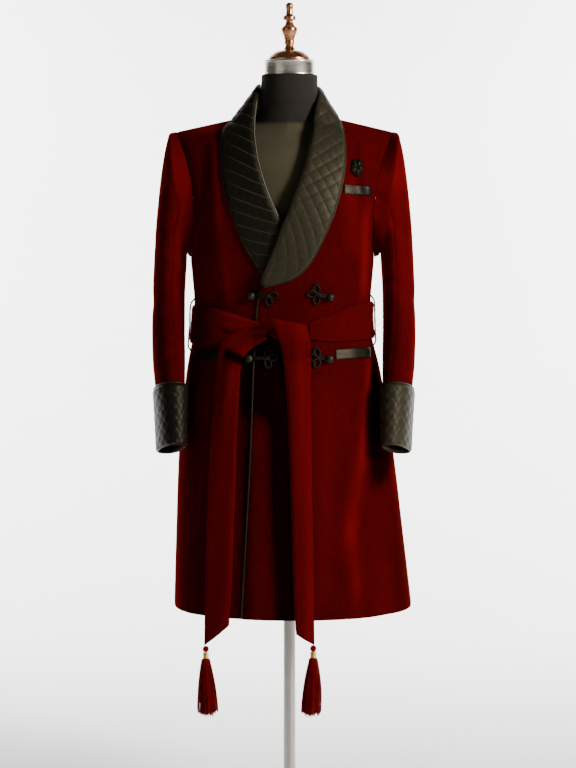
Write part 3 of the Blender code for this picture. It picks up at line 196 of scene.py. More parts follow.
def capped_faces(rings, sides):
    """The faces of a tube of rings with a flat cap at either end."""
    first, last = list(range(sides)), list(range((rings - 1) * sides, rings * sides))
    return grid_faces(rings, sides, round_about=True) + [first, last]


# The studio: a pale seamless paper that runs from the floor up behind the stand, a soft light high on the
# viewer's right, a weak wide one on the left, one on each half of the paper, and an even pale sky.
paper = Finish("backdrop_paper", {"Roughness": 0.95, "Specular IOR Level": 0.1})
paper_grain = paper.noise((3, 3, 3))
paper.paint("Base Color", paper.between(paper_grain, color(0.88, 0.88, 0.88), color(0.92, 0.92, 0.92)))

PAPER_HALF_WIDTH = 6.0
PAPER_BEND_Y = 1.6
PAPER_BEND_RADIUS = 1.2
PAPER_BEND_STEPS = 12
PAPER_TOP = 5.0
PAPER_FRONT = -9.0
sweep = [(PAPER_FRONT, 0.0), (PAPER_BEND_Y, 0.0)]
for step in range(1, PAPER_BEND_STEPS + 1):
    angle = math.pi / 2 * step / PAPER_BEND_STEPS
    ahead, up = PAPER_BEND_RADIUS * math.sin(angle), PAPER_BEND_RADIUS * (1 - math.cos(angle))
    sweep.append((PAPER_BEND_Y + ahead, up))
sweep.append((PAPER_BEND_Y + PAPER_BEND_RADIUS, PAPER_TOP))
sweep_points = [(side * PAPER_HALF_WIDTH, y, z) for y, z in sweep for side in (-1, 1)]
backdrop = make_object("backdrop", sweep_points, grid_faces(len(sweep), 2), paper)


def soft_light(name, place, aim, width, power, tint, spread=180):
    """A square light this wide, which shines from its place towards its aim."""
    lamp = bpy.data.lights.new(name, "AREA")
    lamp.size = width
    lamp.spread = math.radians(spread)
    lamp.energy = power
    lamp.color = tint
    hung = bpy.data.objects.new(name, lamp)
    bpy.context.scene.collection.objects.link(hung)
    hung.location = place
    hung.rotation_euler = (Vector(aim) - Vector(place)).to_track_quat("-Z", "Y").to_euler()


soft_light("key_light", (2.6, -1.85, 2.35), (0.0, 0.0, 1.1), 0.8, 215, (1.0, 0.96, 0.90))
soft_light("fill_light", (-2.6, -2.6, 1.6), (0.0, 0.0, 1.0), 2.0, 9, (1.0, 0.97, 0.94))
for side in (-1, 1):
    paper_aim = (side * 0.9, PAPER_BEND_Y + PAPER_BEND_RADIUS, 1.2)
    paper_place = (side * 2.4, 0.9, 2.2)
    soft_light(f"paper_light_{side}", paper_place, paper_aim, 1.2, 185, (1.0, 1.0, 1.0), spread=125)
sky = bpy.data.worlds.new("sky")
sky.use_nodes = True
sky.node_tree.nodes["Background"].inputs["Color"].default_value = color(1.0, 1.0, 1.0)
sky.node_tree.nodes["Background"].inputs["Strength"].default_value = 0.07
bpy.context.scene.world = sky


# The dress form: a padded torso covered in dark jersey, with a blacker cap over its neck. Its shape is
# turned from sections, each with its own half width and its depth in front and behind.
SPINE_Y = 0.004
FORM_BOTTOM = 0.86
FORM_TOP = 1.530
NECK_BAND = 1.430
form_sections = [
    # height, centre, half width, depth in front, depth behind, fullness
    (FORM_BOTTOM, -0.008, 0.170, 0.100, 0.094, 2.2),
    (0.930, -0.010, 0.176, 0.106, 0.100, 2.2),
    (1.060, -0.012, 0.158, 0.098, 0.078, 2.2),
    (1.200, -0.012, 0.166, 0.112, 0.095, 2.3),
    (1.285, -0.010, 0.166, 0.106, 0.098, 2.3),
    (1.340, -0.009, 0.172, 0.093, 0.094, 2.2),
    (1.375, -0.008, 0.176, 0.078, 0.086, 2.0),
    (1.395, -0.007, 0.166, 0.064, 0.078, 1.6),
    (1.412, -0.006, 0.140, 0.054, 0.070, 1.35),
    (1.428, -0.004, 0.098, 0.050, 0.062, 1.3),
    (1.440, -0.002, 0.0710, 0.0505, 0.0570, 1.7),
    (1.458, -0.001, 0.0618, 0.0530, 0.0550, 1.9),
    (1.500, 0.000, 0.0584, 0.0570, 0.0575, 2.0),
    (FORM_TOP, 0.000, 0.0574, 0.0574, 0.0574, 2.0),
]


def bridge(t, first, first_slope, second, second_slope):
    """A smooth way from the first value to the second, which leaves and meets them along their slopes."""
    return (
        (2 * t**3 - 3 * t**2 + 1) * first
        + (t**3 - 2 * t**2 + t) * first_slope
        + (3 * t**2 - 2 * t**3) * second
        + (t**3 - t**2) * second_slope
    )


def curve_through(places, values, wanted):
    """A smooth curve through a table's values that never overshoots them, read at the wanted places."""
    places, values = np.asarray(places, float), np.asarray(values, float)
    if places[0] > places[-1]:
        places, values = places[::-1], values[::-1]
    steps = np.diff(values) / np.diff(places)
    both = steps[:-1] * steps[1:]
    total = np.where(both > 0, steps[:-1] + steps[1:], 1.0)
    slopes = np.concatenate([steps[:1], np.where(both > 0, 2 * both / total, 0.0), steps[-1:]])
    wanted = np.clip(np.asarray(wanted, float), places[0], places[-1])
    k = np.clip(np.searchsorted(places, wanted, side="right") - 1, 0, len(places) - 2)
    width = places[k + 1] - places[k]
    t = (wanted - places[k]) / width
    return bridge(t, values[k], width * slopes[k], values[k + 1], width * slopes[k + 1])


def read_table(table, number):
    """The table's columns at a row number that may lie between two rows."""
    return [float(curve_through(range(len(table)), column, number)) for column in zip(*table)]


def read_column(table, column, wanted):
    """One column of a table, read by the table's first column at the wanted places."""
    return curve_through([row[0] for row in table], [row[column] for row in table], wanted)


def signed_power(value, power):
    """A power that keeps the value's sign, which squares off a round section."""
    return np.sign(value) * np.abs(value) ** power


def ride_and_stand_for(made, nodes):
    """The piece is fixed to the coat's one body and takes the place of these solids."""
    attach(made, "root")
    if nodes:
        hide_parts(*nodes)
    return made


def turned(name, profile, finish, nodes, sides=64, center=(0.0, 0.0)):
    """A turned piece from radius and height pairs, closed at both ends."""
    turns = np.arange(sides) * 2 * math.pi / sides
    x, y = center
    points = [(x + r * math.cos(t), y + r * math.sin(t), z) for r, z in profile for t in turns]
    made = make_object(name, points, capped_faces(len(profile), sides), finish, sharp=38)
    return ride_and_stand_for(made, nodes)


jersey = Finish("form_cloth", {"Roughness": 0.88, "Specular IOR Level": 0.12, "Sheen Weight": 0.04})
jersey_height = jersey.part(jersey.place(), "Z")
jersey_wear = jersey.noise((9, 9, 9), detail=4.0)
on_neck = jersey.spread(jersey_height + jersey_wear * 0.004, NECK_BAND, NECK_BAND + 0.006)
chest_tone = jersey.between(jersey_wear, color(0.028, 0.024, 0.014), color(0.066, 0.058, 0.032))
jersey.paint("Base Color", jersey.between(on_neck, chest_tone, color(0.0160, 0.0135, 0.0105)))
jersey.relief(jersey.noise((1500, 1500, 1500), detail=1.0) + jersey_wear * 0.5, 0.0003)

FORM_SIDES = 96
FORM_RINGS = 110
NECK_CENTERED = 1.47
form_points = []
for row in np.linspace(0, len(form_sections) - 1, FORM_RINGS):
    z, center, half, front, back, fullness = read_table(form_sections, row)
    turns = np.arange(FORM_SIDES) * 2 * math.pi / FORM_SIDES
    depth = np.where(np.cos(turns) > 0, front, back)
    xs = center + half * signed_power(np.sin(turns), 2 / fullness)
    ys = (SPINE_Y if z < NECK_CENTERED else 0.0) - depth * signed_power(np.cos(turns), 2 / fullness)
    form_points += list(zip(xs, ys, np.full(FORM_SIDES, z)))
torso = make_object("dress_form_torso", form_points, capped_faces(FORM_RINGS, FORM_SIDES), jersey, sharp=60)
ride_and_stand_for(torso, ["form_torso"])


# The cap on the form's neck: a brushed metal ring with a bead at its foot and lip, and a turned copper
# finial that is screwed to it.
steel = Finish("ring_metal", {"Metallic": 1.0, "Specular IOR Level": 0.5})
brushing = steel.noise((12, 12, 2200), detail=2.0)
smudges = steel.noise((40, 40, 40), detail=3.0)
steel.paint("Base Color", steel.between(smudges, color(0.62, 0.57, 0.48), color(0.80, 0.76, 0.68)))
steel.paint("Roughness", brushing * 0.18 + 0.18)
steel.relief(brushing, 0.00008)
ring_profile = [
    (0.0538, 1.5303),
    (0.0545, 1.5308),
    (0.0545, 1.5330),
    (0.0537, 1.5338),
    (0.0526, 1.5344),
    (0.0528, 1.5352),
    (0.0528, 1.5556),
    (0.0531, 1.5563),
    (0.0540, 1.5573),
    (0.0540, 1.5583),
    (0.0534, 1.5595),
    (0.0522, 1.5602),
]
turned("neck_ring_brushed", ring_profile, steel, ["neck_cap_ring"])

copper = Finish("finial_copper", {"Metallic": 1.0})
tarnish = copper.noise((130, 130, 130), detail=4.0)
copper.paint("Base Color", copper.between(tarnish, color(0.36, 0.14, 0.07), color(0.66, 0.31, 0.16)))
copper.paint("Roughness", tarnish * 0.25 + 0.16)
finial_turnings = [
    (0.0440, 1.5605),
    (0.0440, 1.5640),
    (0.0390, 1.5700),
    (0.0270, 1.5785),
    (0.0125, 1.5826),
    (0.0082, 1.5920),
    (0.0104, 1.5950),
    (0.0104, 1.5985),
    (0.0096, 1.6010),
    (0.0125, 1.6110),
    (0.0168, 1.6225),
    (0.0168, 1.6262),
    (0.0100, 1.6330),
    (0.0072, 1.6405),
    (0.0130, 1.6445),
    (0.0130, 1.6500),
    (0.0074, 1.6550),
    (0.0070, 1.6650),
    (0.0082, 1.6720),
    (0.0066, 1.6770),
    (0.0025, 1.6795),
]
finial_rows = np.linspace(0, len(finial_turnings) - 1, 121)
finial_profile = [read_table(finial_turnings, row) for row in finial_rows]
turned("finial_turned", finial_profile, copper, ["finial"])


# The stand, which the photograph's lower edge cuts off: a pole in a short collar on a flat round base, both
# of pale brushed steel like the ring on the neck.
stand_steel = Finish("stand_metal", {"Metallic": 1.0})
stand_brushing = stand_steel.noise((12, 12, 1500), detail=2.0)
stand_tone = stand_steel.between(stand_brushing, color(0.54, 0.52, 0.48), color(0.66, 0.64, 0.60))
stand_steel.paint("Base Color", stand_tone)
stand_steel.paint("Roughness", stand_brushing * 0.16 + 0.30)
stand_steel.relief(stand_brushing, 0.00006)
POLE_RADIUS = 0.0125
BASE_RADIUS = 0.19
BASE_HEIGHT = 0.022
pole_profile = [
    (POLE_RADIUS * 1.5, BASE_HEIGHT + 0.0003),
    (POLE_RADIUS * 1.6, BASE_HEIGHT + 0.0020),
    (POLE_RADIUS * 1.6, BASE_HEIGHT + 0.0290),
    (POLE_RADIUS * 1.5, BASE_HEIGHT + 0.0305),
    (POLE_RADIUS * 1.05, BASE_HEIGHT + 0.0320),
    (POLE_RADIUS, BASE_HEIGHT + 0.0340),
    (POLE_RADIUS, FORM_BOTTOM - 0.0003),
]
turned("pole_brushed", pole_profile, stand_steel, ["stand_pole"])
base_profile = [
    (BASE_RADIUS - 0.001, 0.0),
    (BASE_RADIUS, 0.001),
    (BASE_RADIUS, 0.007),
    (BASE_RADIUS - 0.002, 0.0105),
    (BASE_RADIUS - 0.010, 0.0136),
    (BASE_RADIUS * 0.70, 0.0178),
    (BASE_RADIUS * 0.35, BASE_HEIGHT),
]
turned("base_brushed", base_profile, stand_steel, ["stand_base"], sides=128)


# The velvet body: two fronts and two side backs of crimson velvet, seamed at the shoulders, sides and
# centre back. The wearer's left front laps over the right one. Each panel is a thin shell on its own
# sections, from the shoulder down to the hem, with its drag lines and soft skirt folds given one by one.
VELVET_THICK = 0.002
SEAM = 0.0003
HEM = 0.447
NECK_HALF = 0.0760
NECK_SCOOP = 0.060
UNDERARM = 6
body_sections = [
    # height at the front edge, centre back and side, x of the middle, right side and left side, depth of
    # the armhole, depth in front and behind, fullness
    (1.449, 1.464, 1.415, -0.002, -0.2320, 0.2115, 0.000, 0.000, 0.000, 2.20),
    (1.430, 1.446, 1.392, -0.003, -0.2220, 0.2020, 0.026, 0.052, 0.078, 2.30),
    (1.390, 1.405, 1.350, -0.006, -0.2080, 0.1880, 0.050, 0.086, 0.098, 2.40),
    (1.340, 1.355, 1.300, -0.009, -0.1970, 0.1760, 0.066, 0.110, 0.108, 2.40),
    (1.285, 1.300, 1.250, -0.011, -0.1930, 0.1700, 0.068, 0.124, 0.112, 2.40),
    (1.230, 1.240, 1.198, -0.013, -0.1950, 0.1690, 0.044, 0.130, 0.112, 2.40),
    (1.180, 1.185, 1.158, -0.0144, -0.2020, 0.1732, 0.000, 0.131, 0.110, 2.35),
    (1.115, 1.115, 1.115, -0.0144, -0.1985, 0.1700, 0.000, 0.125, 0.102, 2.30),
    (1.060, 1.060, 1.060, -0.0144, -0.1948, 0.1660, 0.000, 0.117, 0.094, 2.25),
    (1.010, 1.010, 1.010, -0.0144, -0.1960, 0.1670, 0.000, 0.117, 0.098, 2.20),
    (0.927, 0.927, 0.927, -0.0123, -0.2103, 0.1857, 0.000, 0.127, 0.116, 2.20),
    (0.763, 0.763, 0.763, -0.0070, -0.2264, 0.2124, 0.000, 0.146, 0.136, 2.20),
    (0.600, 0.600, 0.600, 0.0000, -0.2320, 0.2320, 0.000, 0.160, 0.150, 2.15),
    (HEM, HEM, HEM, 0.0070, -0.2360, 0.2500, 0.000, 0.172, 0.158, 2.15),
]
# Where each front is cut off, along the lapel's roll and down its edge: height, over front, under front
front_edge = [
    (1.480, 0.0740, -0.0790),
    (1.462, 0.0740, -0.0790),
    (1.426, 0.0535, -0.0790),
    (1.378, 0.0450, -0.0735),
    (1.334, 0.0340, -0.0645),
    (1.294, 0.0180, -0.0500),
    (1.254, 0.0040, -0.0340),
    (1.226, -0.0100, -0.0200),
    (1.188, -0.0220, -0.0020),
    (1.159, -0.0345, 0.0120),
    (1.127, -0.0470, 0.0260),
    (1.099, -0.0570, 0.0360),
    (1.060, -0.0625, 0.0400),
    (0.946, -0.0695, 0.0480),
    (0.799, -0.0746, 0.0560),
    (HEM, -0.0930, 0.0740),
]
# How far the over front stands out and the under front sinks, by height
lap_depths = [
    (1.480, 0.0000, 0.0000),
    (1.360, 0.0010, 0.0000),
    (1.280, 0.0050, 0.0020),
    (1.230, 0.0075, 0.0045),
    (1.110, 0.0075, 0.0045),
    (1.060, 0.0020, 0.0020),
    (HEM, 0.0020, 0.0020),
]
LAP_FADE = 0.11
OVER, UNDER = 1, 2
# The main folds: front or back (-1 or 1), across at the top and bottom, top and bottom height, width, depth
main_folds = [
    (-1, -0.155, -0.150, 1.400, 1.215, 0.013, 0.0045),
    (-1, -0.172, -0.170, 1.380, 1.200, 0.012, -0.0050),
    (-1, 0.142, 0.166, 1.405, 1.240, 0.013, 0.0040),
    (-1, 0.125, 0.150, 1.390, 1.190, 0.014, -0.0040),
    (-1, 0.150, 0.128, 0.820, 0.520, 0.026, 0.0060),
    (-1, 0.185, 0.195, 0.900, 0.450, 0.022, -0.0060),
    (-1, -0.190, -0.205, 0.900, 0.450, 0.024, 0.0050),
    (-1, -0.150, -0.160, 0.930, 0.500, 0.024, -0.0050),
    (1, -0.145, -0.150, 1.380, 1.200, 0.014, 0.0045),
    (1, 0.130, 0.135, 1.390, 1.190, 0.014, 0.0045),
    (1, -0.110, -0.130, 0.960, 0.460, 0.030, 0.0070),
    (1, 0.060, 0.080, 0.940, 0.470, 0.032, 0.0060),
    (1, 0.150, 0.175, 0.900, 0.450, 0.028, 0.0070),
    (1, -0.040, -0.050, 0.900, 0.480, 0.026, -0.0060),
]
# Finer creases that only the dressed coat shows, in the same order
fine_creases = [
    (-1, -0.138, -0.128, 1.180, 1.070, 0.009, 0.0018),
    (-1, -0.160, -0.152, 1.150, 1.065, 0.007, -0.0016),
    (-1, -0.178, -0.176, 1.160, 1.070, 0.008, 0.0020),
    (-1, 0.110, 0.104, 1.170, 1.065, 0.009, -0.0016),
    (-1, 0.134, 0.128, 1.200, 1.070, 0.008, 0.0018),
    (-1, 0.153, 0.150, 1.160, 1.068, 0.007, -0.0018),
    (-1, -0.172, -0.182, 0.985, 0.840, 0.008, -0.0022),
    (-1, -0.186, -0.200, 0.980, 0.780, 0.009, 0.0020),
    (-1, -0.120, -0.128, 0.975, 0.870, 0.009, 0.0016),
    (-1, 0.100, 0.106, 0.940, 0.800, 0.011, 0.0016),
    (-1, 0.140, 0.158, 0.975, 0.840, 0.009, -0.0020),
    (-1, 0.160, 0.182, 0.970, 0.760, 0.010, 0.0020),
    (-1, 0.080, 0.084, 0.740, 0.480, 0.018, -0.0025),
    (-1, -0.195, -0.200, 0.720, 0.470, 0.012, -0.0022),
    (1, -0.060, -0.064, 0.980, 0.860, 0.009, 0.0020),
    (1, 0.020, 0.024, 0.975, 0.820, 0.010, -0.0022),
    (1, 0.105, 0.116, 0.980, 0.830, 0.009, 0.0022),
    (1, -0.160, -0.170, 0.980, 0.800, 0.009, -0.0022),
    (1, 0.100, 0.070, 1.240, 1.075, 0.012, 0.0025),
    (1, -0.105, -0.075, 1.230, 1.075, 0.013, 0.0025),
    (1, 0.140, 0.110, 1.200, 1.070, 0.010, -0.0020),
    (1, -0.150, -0.115, 1.190, 1.070, 0.010, -0.0022),
]
# Painted light and shade, in the same order as the folds: above 0 a painted highlight, below 0 painted shade
# such as the shadows under the knot, beside the belt end that falls over it and beside the wearer's left cuff
painted_light_bands = [
    (-1, -0.027, -0.009, 0.975, 0.447, 0.020, -1.00),
    (-1, -0.058, -0.058, 0.995, 0.870, 0.034, -1.10),
    (-1, -0.086, -0.088, 0.960, 0.450, 0.011, -0.40),
    (-1, -0.176, -0.186, 0.985, 0.440, 0.032, -0.22),
    (-1, -0.124, -0.132, 1.400, 1.090, 0.034, 0.38),
    (-1, 0.166, 0.147, 0.975, 0.770, 0.009, 0.80),
    (-1, 0.147, 0.115, 0.780, 0.600, 0.014, 0.60),
    (-1, 0.119, 0.134, 0.650, 0.480, 0.012, 0.42),
    (-1, 0.188, 0.181, 0.970, 0.725, 0.020, -1.20),
    (-1, 0.226, 0.236, 0.700, 0.440, 0.024, -0.35),
    (-1, 0.155, 0.150, 1.270, 1.085, 0.009, 0.75),
    (-1, 0.118, 0.128, 1.330, 1.180, 0.018, 0.25),
    (-1, 0.076, 0.070, 0.930, 0.500, 0.020, 0.18),
    (1, -0.060, -0.070, 0.960, 0.480, 0.020, -0.35),
    (1, 0.020, 0.026, 0.940, 0.460, 0.022, 0.30),
    (1, 0.120, 0.134, 0.950, 0.520, 0.018, -0.30),
]


def soft_step(t):
    """Rises smoothly from 0 where t is 0 to 1 where t is 1."""
    t = np.clip(t, 0.0, 1.0)
    return t * t * (3 - 2 * t)


def band_sum(bands, face, x, z):
    """The sum at these places of all the folds, creases or bands of painted light of one face, faded at their
    ends.
    """
    lift = np.zeros_like(x)
    for where, x_top, x_bottom, top, bottom, width, height in bands:
        if where != face:
            continue
        short = min(0.08, (top - bottom) / 2)
        middle = x_top + (x_bottom - x_top) * (top - z) / (top - bottom)
        ends = soft_step((z - bottom + 0.05) / short) if bottom > HEM + 0.02 else 1.0
        ends = ends * soft_step((top + 0.03 - z) / short)
        lift += height * ends * np.exp(-(((x - middle) / width) ** 2))
    return lift


section_words = "z_front z_back z_side center right left armhole front back fullness"


class BodySection(namedtuple("BodySection", section_words)):
    """One section of the coat's body; a side is 1 for the wearer's left, and a face is 1 for the back."""

    def side_x(self, side):
        """Where the section ends across, on this side."""
        return self.left if side > 0 else self.right

    def depth(self, face):
        """How deep the section is in front or behind."""
        return self.back if face > 0 else self.front

    def outline_width(self, side, face):
        """Half width of the rounded outline that passes through the armhole's edge."""
        depth = self.depth(face)
        reach = abs(self.side_x(side) - self.center)
        ratio = min(self.armhole / depth, 0.95) if depth > 0.0001 else 0.5
        return reach / (1 - ratio**self.fullness) ** (1 / self.fullness)


def body_section(v):
    """The body's section at a row number that may lie between two rows."""
    return BodySection(*read_table(body_sections, v))


def body_line(v, x, side, face, lap=0):
    """Points of the body's outer surface at row v and these places across."""
    row = body_section(v)
    width = row.outline_width(side, face)
    inside = np.maximum(0.0, 1 - (np.abs(x - row.center) / width) ** row.fullness)
    round_part = inside ** (1 / row.fullness)
    y = SPINE_Y + face * row.depth(face) * round_part
    side_x = row.side_x(side)
    if face > 0:
        start_x, start_z = row.center, row.z_back
        y = y + NECK_SCOOP * np.sqrt(np.maximum(0.0, 1 - (x / NECK_HALF) ** 2)) * (1 - soft_step(v))
    else:
        start_x, start_z = read_column(front_edge, lap, row.z_front), row.z_front
    along = (x - start_x) / (side_x - start_x)
    if face > 0 and v < 1:
        along = soft_step(along) * (1 - v) + along * v
    z = start_z + (row.z_side - start_z) * along
    if lap:
        fade = soft_step(np.abs(side_x - x) / LAP_FADE)
        shift = read_column(lap_depths, lap, z) * fade * min(1.0, v)
        y = y + (-1 if lap == OVER else 1) * shift
    edge_fade = soft_step(np.abs(side_x - x) / 0.02)
    y = y + face * band_sum(main_folds + fine_creases, face, x, z) * edge_fade * round_part**0.5
    return np.stack([x, y, z], -1)


ROWS_TO_UNDERARM = 54
ROWS_BELOW = 112
FRONT_COLUMNS = 68
BACK_COLUMNS = 50


def panel_grid(side, face, columns, lap=0):
    """Rows of points from the front edge or centre back out to the armhole and side seam."""
    last = len(body_sections) - 1
    upper = UNDERARM * np.arange(ROWS_TO_UNDERARM) / ROWS_TO_UNDERARM
    lower = UNDERARM + (last - UNDERARM) * np.arange(ROWS_BELOW + 1) / ROWS_BELOW
    grid = []
    for v in np.concatenate([upper, lower]):
        row = body_section(v)
        width = row.outline_width(side, face)
        first_x = row.center + side * SEAM / 2
        if face < 0:
            first_x = float(read_column(front_edge, lap, row.z_front))
        ends = np.array([first_x, row.side_x(side)])
        parts = (ends - row.center) / width
        turns = np.sign(parts) * np.arcsin(np.minimum(1.0, np.abs(parts)) ** (row.fullness / 2))
        angles = np.linspace(turns[0], turns[1], columns + 1)
        x = row.center + width * signed_power(np.sin(angles), 2 / row.fullness)
        x[0], x[-1] = ends
        grid.append(body_line(float(v), x, side, face, lap))
    grid = np.array(grid)
    grid[:, -1, 1] += face * SEAM / 2
    grid[0, :, 1] += face * SEAM / 2
    return grid


def grid_normals(grid, round_about=False):
    """Unit normals of a grid of points."""
    down = np.gradient(grid, axis=0)
    if round_about:
        across = (np.roll(grid, -1, axis=1) - np.roll(grid, 1, axis=1)) / 2
    else:
        across = np.gradient(grid, axis=1)
    normals = np.cross(down, across)
    return normals / np.maximum(np.linalg.norm(normals, axis=2, keepdims=True), 1e-9)


def edge_distance(grid, axis, from_end):
    """How far each point of a grid lies from its first or last row or column, along the cloth."""
    steps = np.linalg.norm(np.diff(grid, axis=axis), axis=2)
    pad = [(0, 0), (0, 0)]
    pad[axis] = (1, 0)
    far = np.cumsum(np.pad(steps, pad), axis=axis)
    if from_end:
        return np.take(far, [-1], axis=axis) - far
    return far


def rounded(grid, normals, seams, depth=0.0009, reach=0.0035):
    """Sinks the cloth a little along these edges, which rounds a fold and draws a seam's line."""
    sunk = grid.copy()
    for axis, from_end in seams:
        near = np.exp(-((edge_distance(grid, axis, from_end) / reach) ** 2))
        sunk -= normals * (near * depth)[:, :, None]
    return sunk


def shell(name, outer, inner, finish, nodes, slot, round_about=False, cloth_map=None, around=0.0):
    """A closed thin shell between an outer and an inner grid of points."""
    rows, columns = outer.shape[:2]
    points = np.concatenate([outer.reshape(-1, 3), inner.reshape(-1, 3)])
    base = rows * columns
    faces = grid_faces(rows, columns, 0, round_about) + grid_faces(rows, columns, base, round_about)
    c = np.arange(columns if round_about else columns - 1)
    after = (c + 1) % columns
    for r in (0, rows - 1):
        rim = r * columns
        faces += np.stack([rim + c, rim + after, base + rim + after, base + rim + c], -1).tolist()
    if not round_about:
        r = np.arange(rows - 1) * columns
        for c in (0, columns - 1):
            faces += np.stack([r + c, r + columns + c, base + r + columns + c, base + r + c], -1).tolist()
    double_map = None if cloth_map is None else np.concatenate([cloth_map.reshape(-1, 2)] * 2)
    made = make_object(name, points, faces, finish, double_map, around)
    return ride_and_stand_for(made, nodes)


velvet = Finish(
    "velvet",
    {
        "Roughness": 0.85,
        "Specular IOR Level": 0.0,
        "Sheen Weight": 0.30,
        "Sheen Roughness": 0.32,
        "Sheen Tint": color(1.0, 0.035, 0.012),
    },
)
brushed_spots = velvet.noise((9, 9, 4), detail=3.0)
nap_streaks = velvet.noise((260, 260, 22), detail=3.0, rough=0.6)
pile = velvet.noise((2600, 2600, 2600), detail=1.0)
velvet_tone = velvet.spread(brushed_spots * 0.5 + nap_streaks * 0.5, 0.32, 0.68)
# The cloth map's first number is painted light and shade: above 0 it lightens the velvet, below 0 it darkens
# it
velvet_light = velvet_tone * 0.22 + velvet.part(velvet.cloth_place(), "X") * 0.55 + 0.22
velvet_red = velvet.between(velvet_light, color(0.005, 0.0001, 0.0001), color(0.130, 0.0006, 0.0003))
velvet.paint("Base Color", velvet_red)
velvet.relief(pile * 0.5 + nap_streaks * 0.5, 0.00035)

left_front = panel_grid(1, -1, FRONT_COLUMNS, OVER)
right_front = panel_grid(-1, -1, FRONT_COLUMNS, UNDER)
left_back = panel_grid(1, 1, BACK_COLUMNS)
right_back = panel_grid(-1, 1, BACK_COLUMNS)


def painted_light_map(painted_light):
    """The cloth map of a velvet piece: its painted light and shade, and nothing across."""
    return np.stack([painted_light, np.zeros_like(painted_light)], -1)


def body_panel(name, grid, face, node):
    """One panel of the coat's body as a shell, rounded at its folds and sunk at its seams."""
    normals = grid_normals(grid)
    normals *= np.sign((normals[:, :, 1] * face).sum())
    normals[0, :, 1] = 0.0
    normals[ROWS_TO_UNDERARM + 5 :, -1, 1] = 0.0
    if face > 0:
        normals[:, 0, 0] = 0.0
    normals /= np.linalg.norm(normals, axis=2, keepdims=True)
    outer = rounded(grid, normals, [(0, False), (0, True), (1, False), (1, True)])
    # Painted light and shade on the panel, from the bands above
    painted_light = band_sum(painted_light_bands, face, grid[:, :, 0], grid[:, :, 2])
    inner = grid - normals * VELVET_THICK
    made = shell(name, outer, inner, velvet, [node], "velvet", cloth_map=painted_light_map(painted_light))


body_panel("velvet_front_left", left_front, -1, "front_left")
body_panel("velvet_front_right", right_front, -1, "front_right")
body_panel("velvet_back_left", left_back, 1, "back_left")
body_panel("velvet_back_right", right_back, 1, "back_right")


# The velvet sleeves: a tailored two-piece sleeve a side, set into the armhole with a little roping at the
# crown and bent forward at the elbow. The top half is seamed to the under half in front and behind.
ARM_CENTER = -0.0115
sleeve_sections = [
    # height, outer and inner reach from the arm's middle line, rise of the outer side, y, depth, pitch, toe
    (1.284, 0.2360, 0.1945, 0.1230, -0.002, 0.0690, 0, 0),
    (1.266, 0.2450, 0.1960, 0.1010, -0.001, 0.0690, 0, 0),
    (1.228, 0.2550, 0.1980, 0.0640, 0.000, 0.0680, 0, 0),
    (1.178, 0.2625, 0.1990, 0.0320, 0.001, 0.0665, 0, 0),
    (1.128, 0.2662, 0.2010, 0.0120, 0.002, 0.0650, 0, 0),
    (1.070, 0.2690, 0.2025, 0.0000, 0.002, 0.0630, 2, 2),
    (1.010, 0.2697, 0.2020, 0.0000, -0.010, 0.0610, 8, 4),
    (0.950, 0.2675, 0.2000, 0.0000, -0.030, 0.0590, 13, 9),
    (0.895, 0.2610, 0.1990, 0.0000, -0.053, 0.0560, 16, 14),
    (0.836, 0.2560, 0.1995, 0.0000, -0.073, 0.0530, 17, 18),
    (0.780, 0.2520, 0.2000, 0.0000, -0.090, 0.0500, 17, 20),
]
# Which way the crease faces (0 outer, 90 front, 180 inner), its half turn, height, lean, width, depth
sleeve_creases = [
    (75, 70, 1.215, 0.030, 0.014, -0.0040),
    (100, 60, 1.150, -0.020, 0.013, 0.0040),
    (60, 75, 1.085, 0.025, 0.015, -0.0045),
    (85, 60, 1.040, -0.015, 0.013, 0.0040),
    (270, 70, 1.060, 0.020, 0.016, -0.0045),
    (90, 60, 0.960, 0.020, 0.012, -0.0030),
    (280, 70, 1.170, -0.020, 0.016, 0.0040),
    (120, 50, 1.100, 0.012, 0.007, 0.0016),
    (70, 55, 1.012, 0.020, 0.008, -0.0018),
    (105, 45, 0.985, -0.012, 0.007, 0.0018),
    (60, 50, 0.925, 0.014, 0.008, 0.0014),
    (250, 55, 1.110, -0.016, 0.008, 0.0018),
    (300, 50, 1.000, 0.018, 0.008, 0.0016),
    (265, 50, 0.950, -0.012, 0.008, -0.0016),
]
SLEEVE_AROUND = 2 * ROWS_TO_UNDERARM
SLEEVE_ROWS = 104
ARMHOLE_ROWS = 6
SLEEVE_END = len(sleeve_sections) - 1
SLEEVE_SQUARE = 2.25
FRONT_SEAM = round(SLEEVE_AROUND * 0.278)
BACK_SEAM = round(SLEEVE_AROUND * 0.722)


def sleeve_ring(side, v, turns, ease=0.0):
    """One ring of points round the sleeve at row v. turns are angles from the outer side round the front."""
    height, outer, inner, rise, y, depth, pitch, toe = read_table(sleeve_sections, v)
    half = (outer - inner) / 2 + ease
    middle = (outer + inner) / 2
    pitch, toe = math.radians(pitch), math.radians(toe)
    half = math.sqrt(max(half**2 - ((depth + ease) * math.sin(toe)) ** 2, 0.0001))
    angle = np.radians(turns)
    across = half * signed_power(np.cos(angle), 2 / SLEEVE_SQUARE)
    ahead = (depth + ease) * signed_power(np.sin(angle), 2 / SLEEVE_SQUARE)
    out = across * math.cos(toe) - ahead * math.sin(toe)
    forward = ahead * math.cos(toe) + across * math.sin(toe)
    z = height + rise * np.cos(angle) + forward * math.sin(pitch)
    ys = y - forward * math.cos(pitch)
    lift = np.zeros_like(z)
    for turn, half_turn, crease_z, lean, width, crease_depth in sleeve_creases:
        part = ((turns - turn + 180) % 360 - 180) / half_turn
        off = z - crease_z - lean * part
        fade = np.maximum(0.0, 1 - part**2)
        lift += crease_depth * fade * np.exp(-((off / width) ** 2))
    lift *= float(soft_step((v - 1.0) / 1.0))
    out = out + lift * np.cos(angle)
    ys = ys - lift * np.sin(angle)
    return np.stack([ARM_CENTER + side * (middle + out), ys, z], -1)


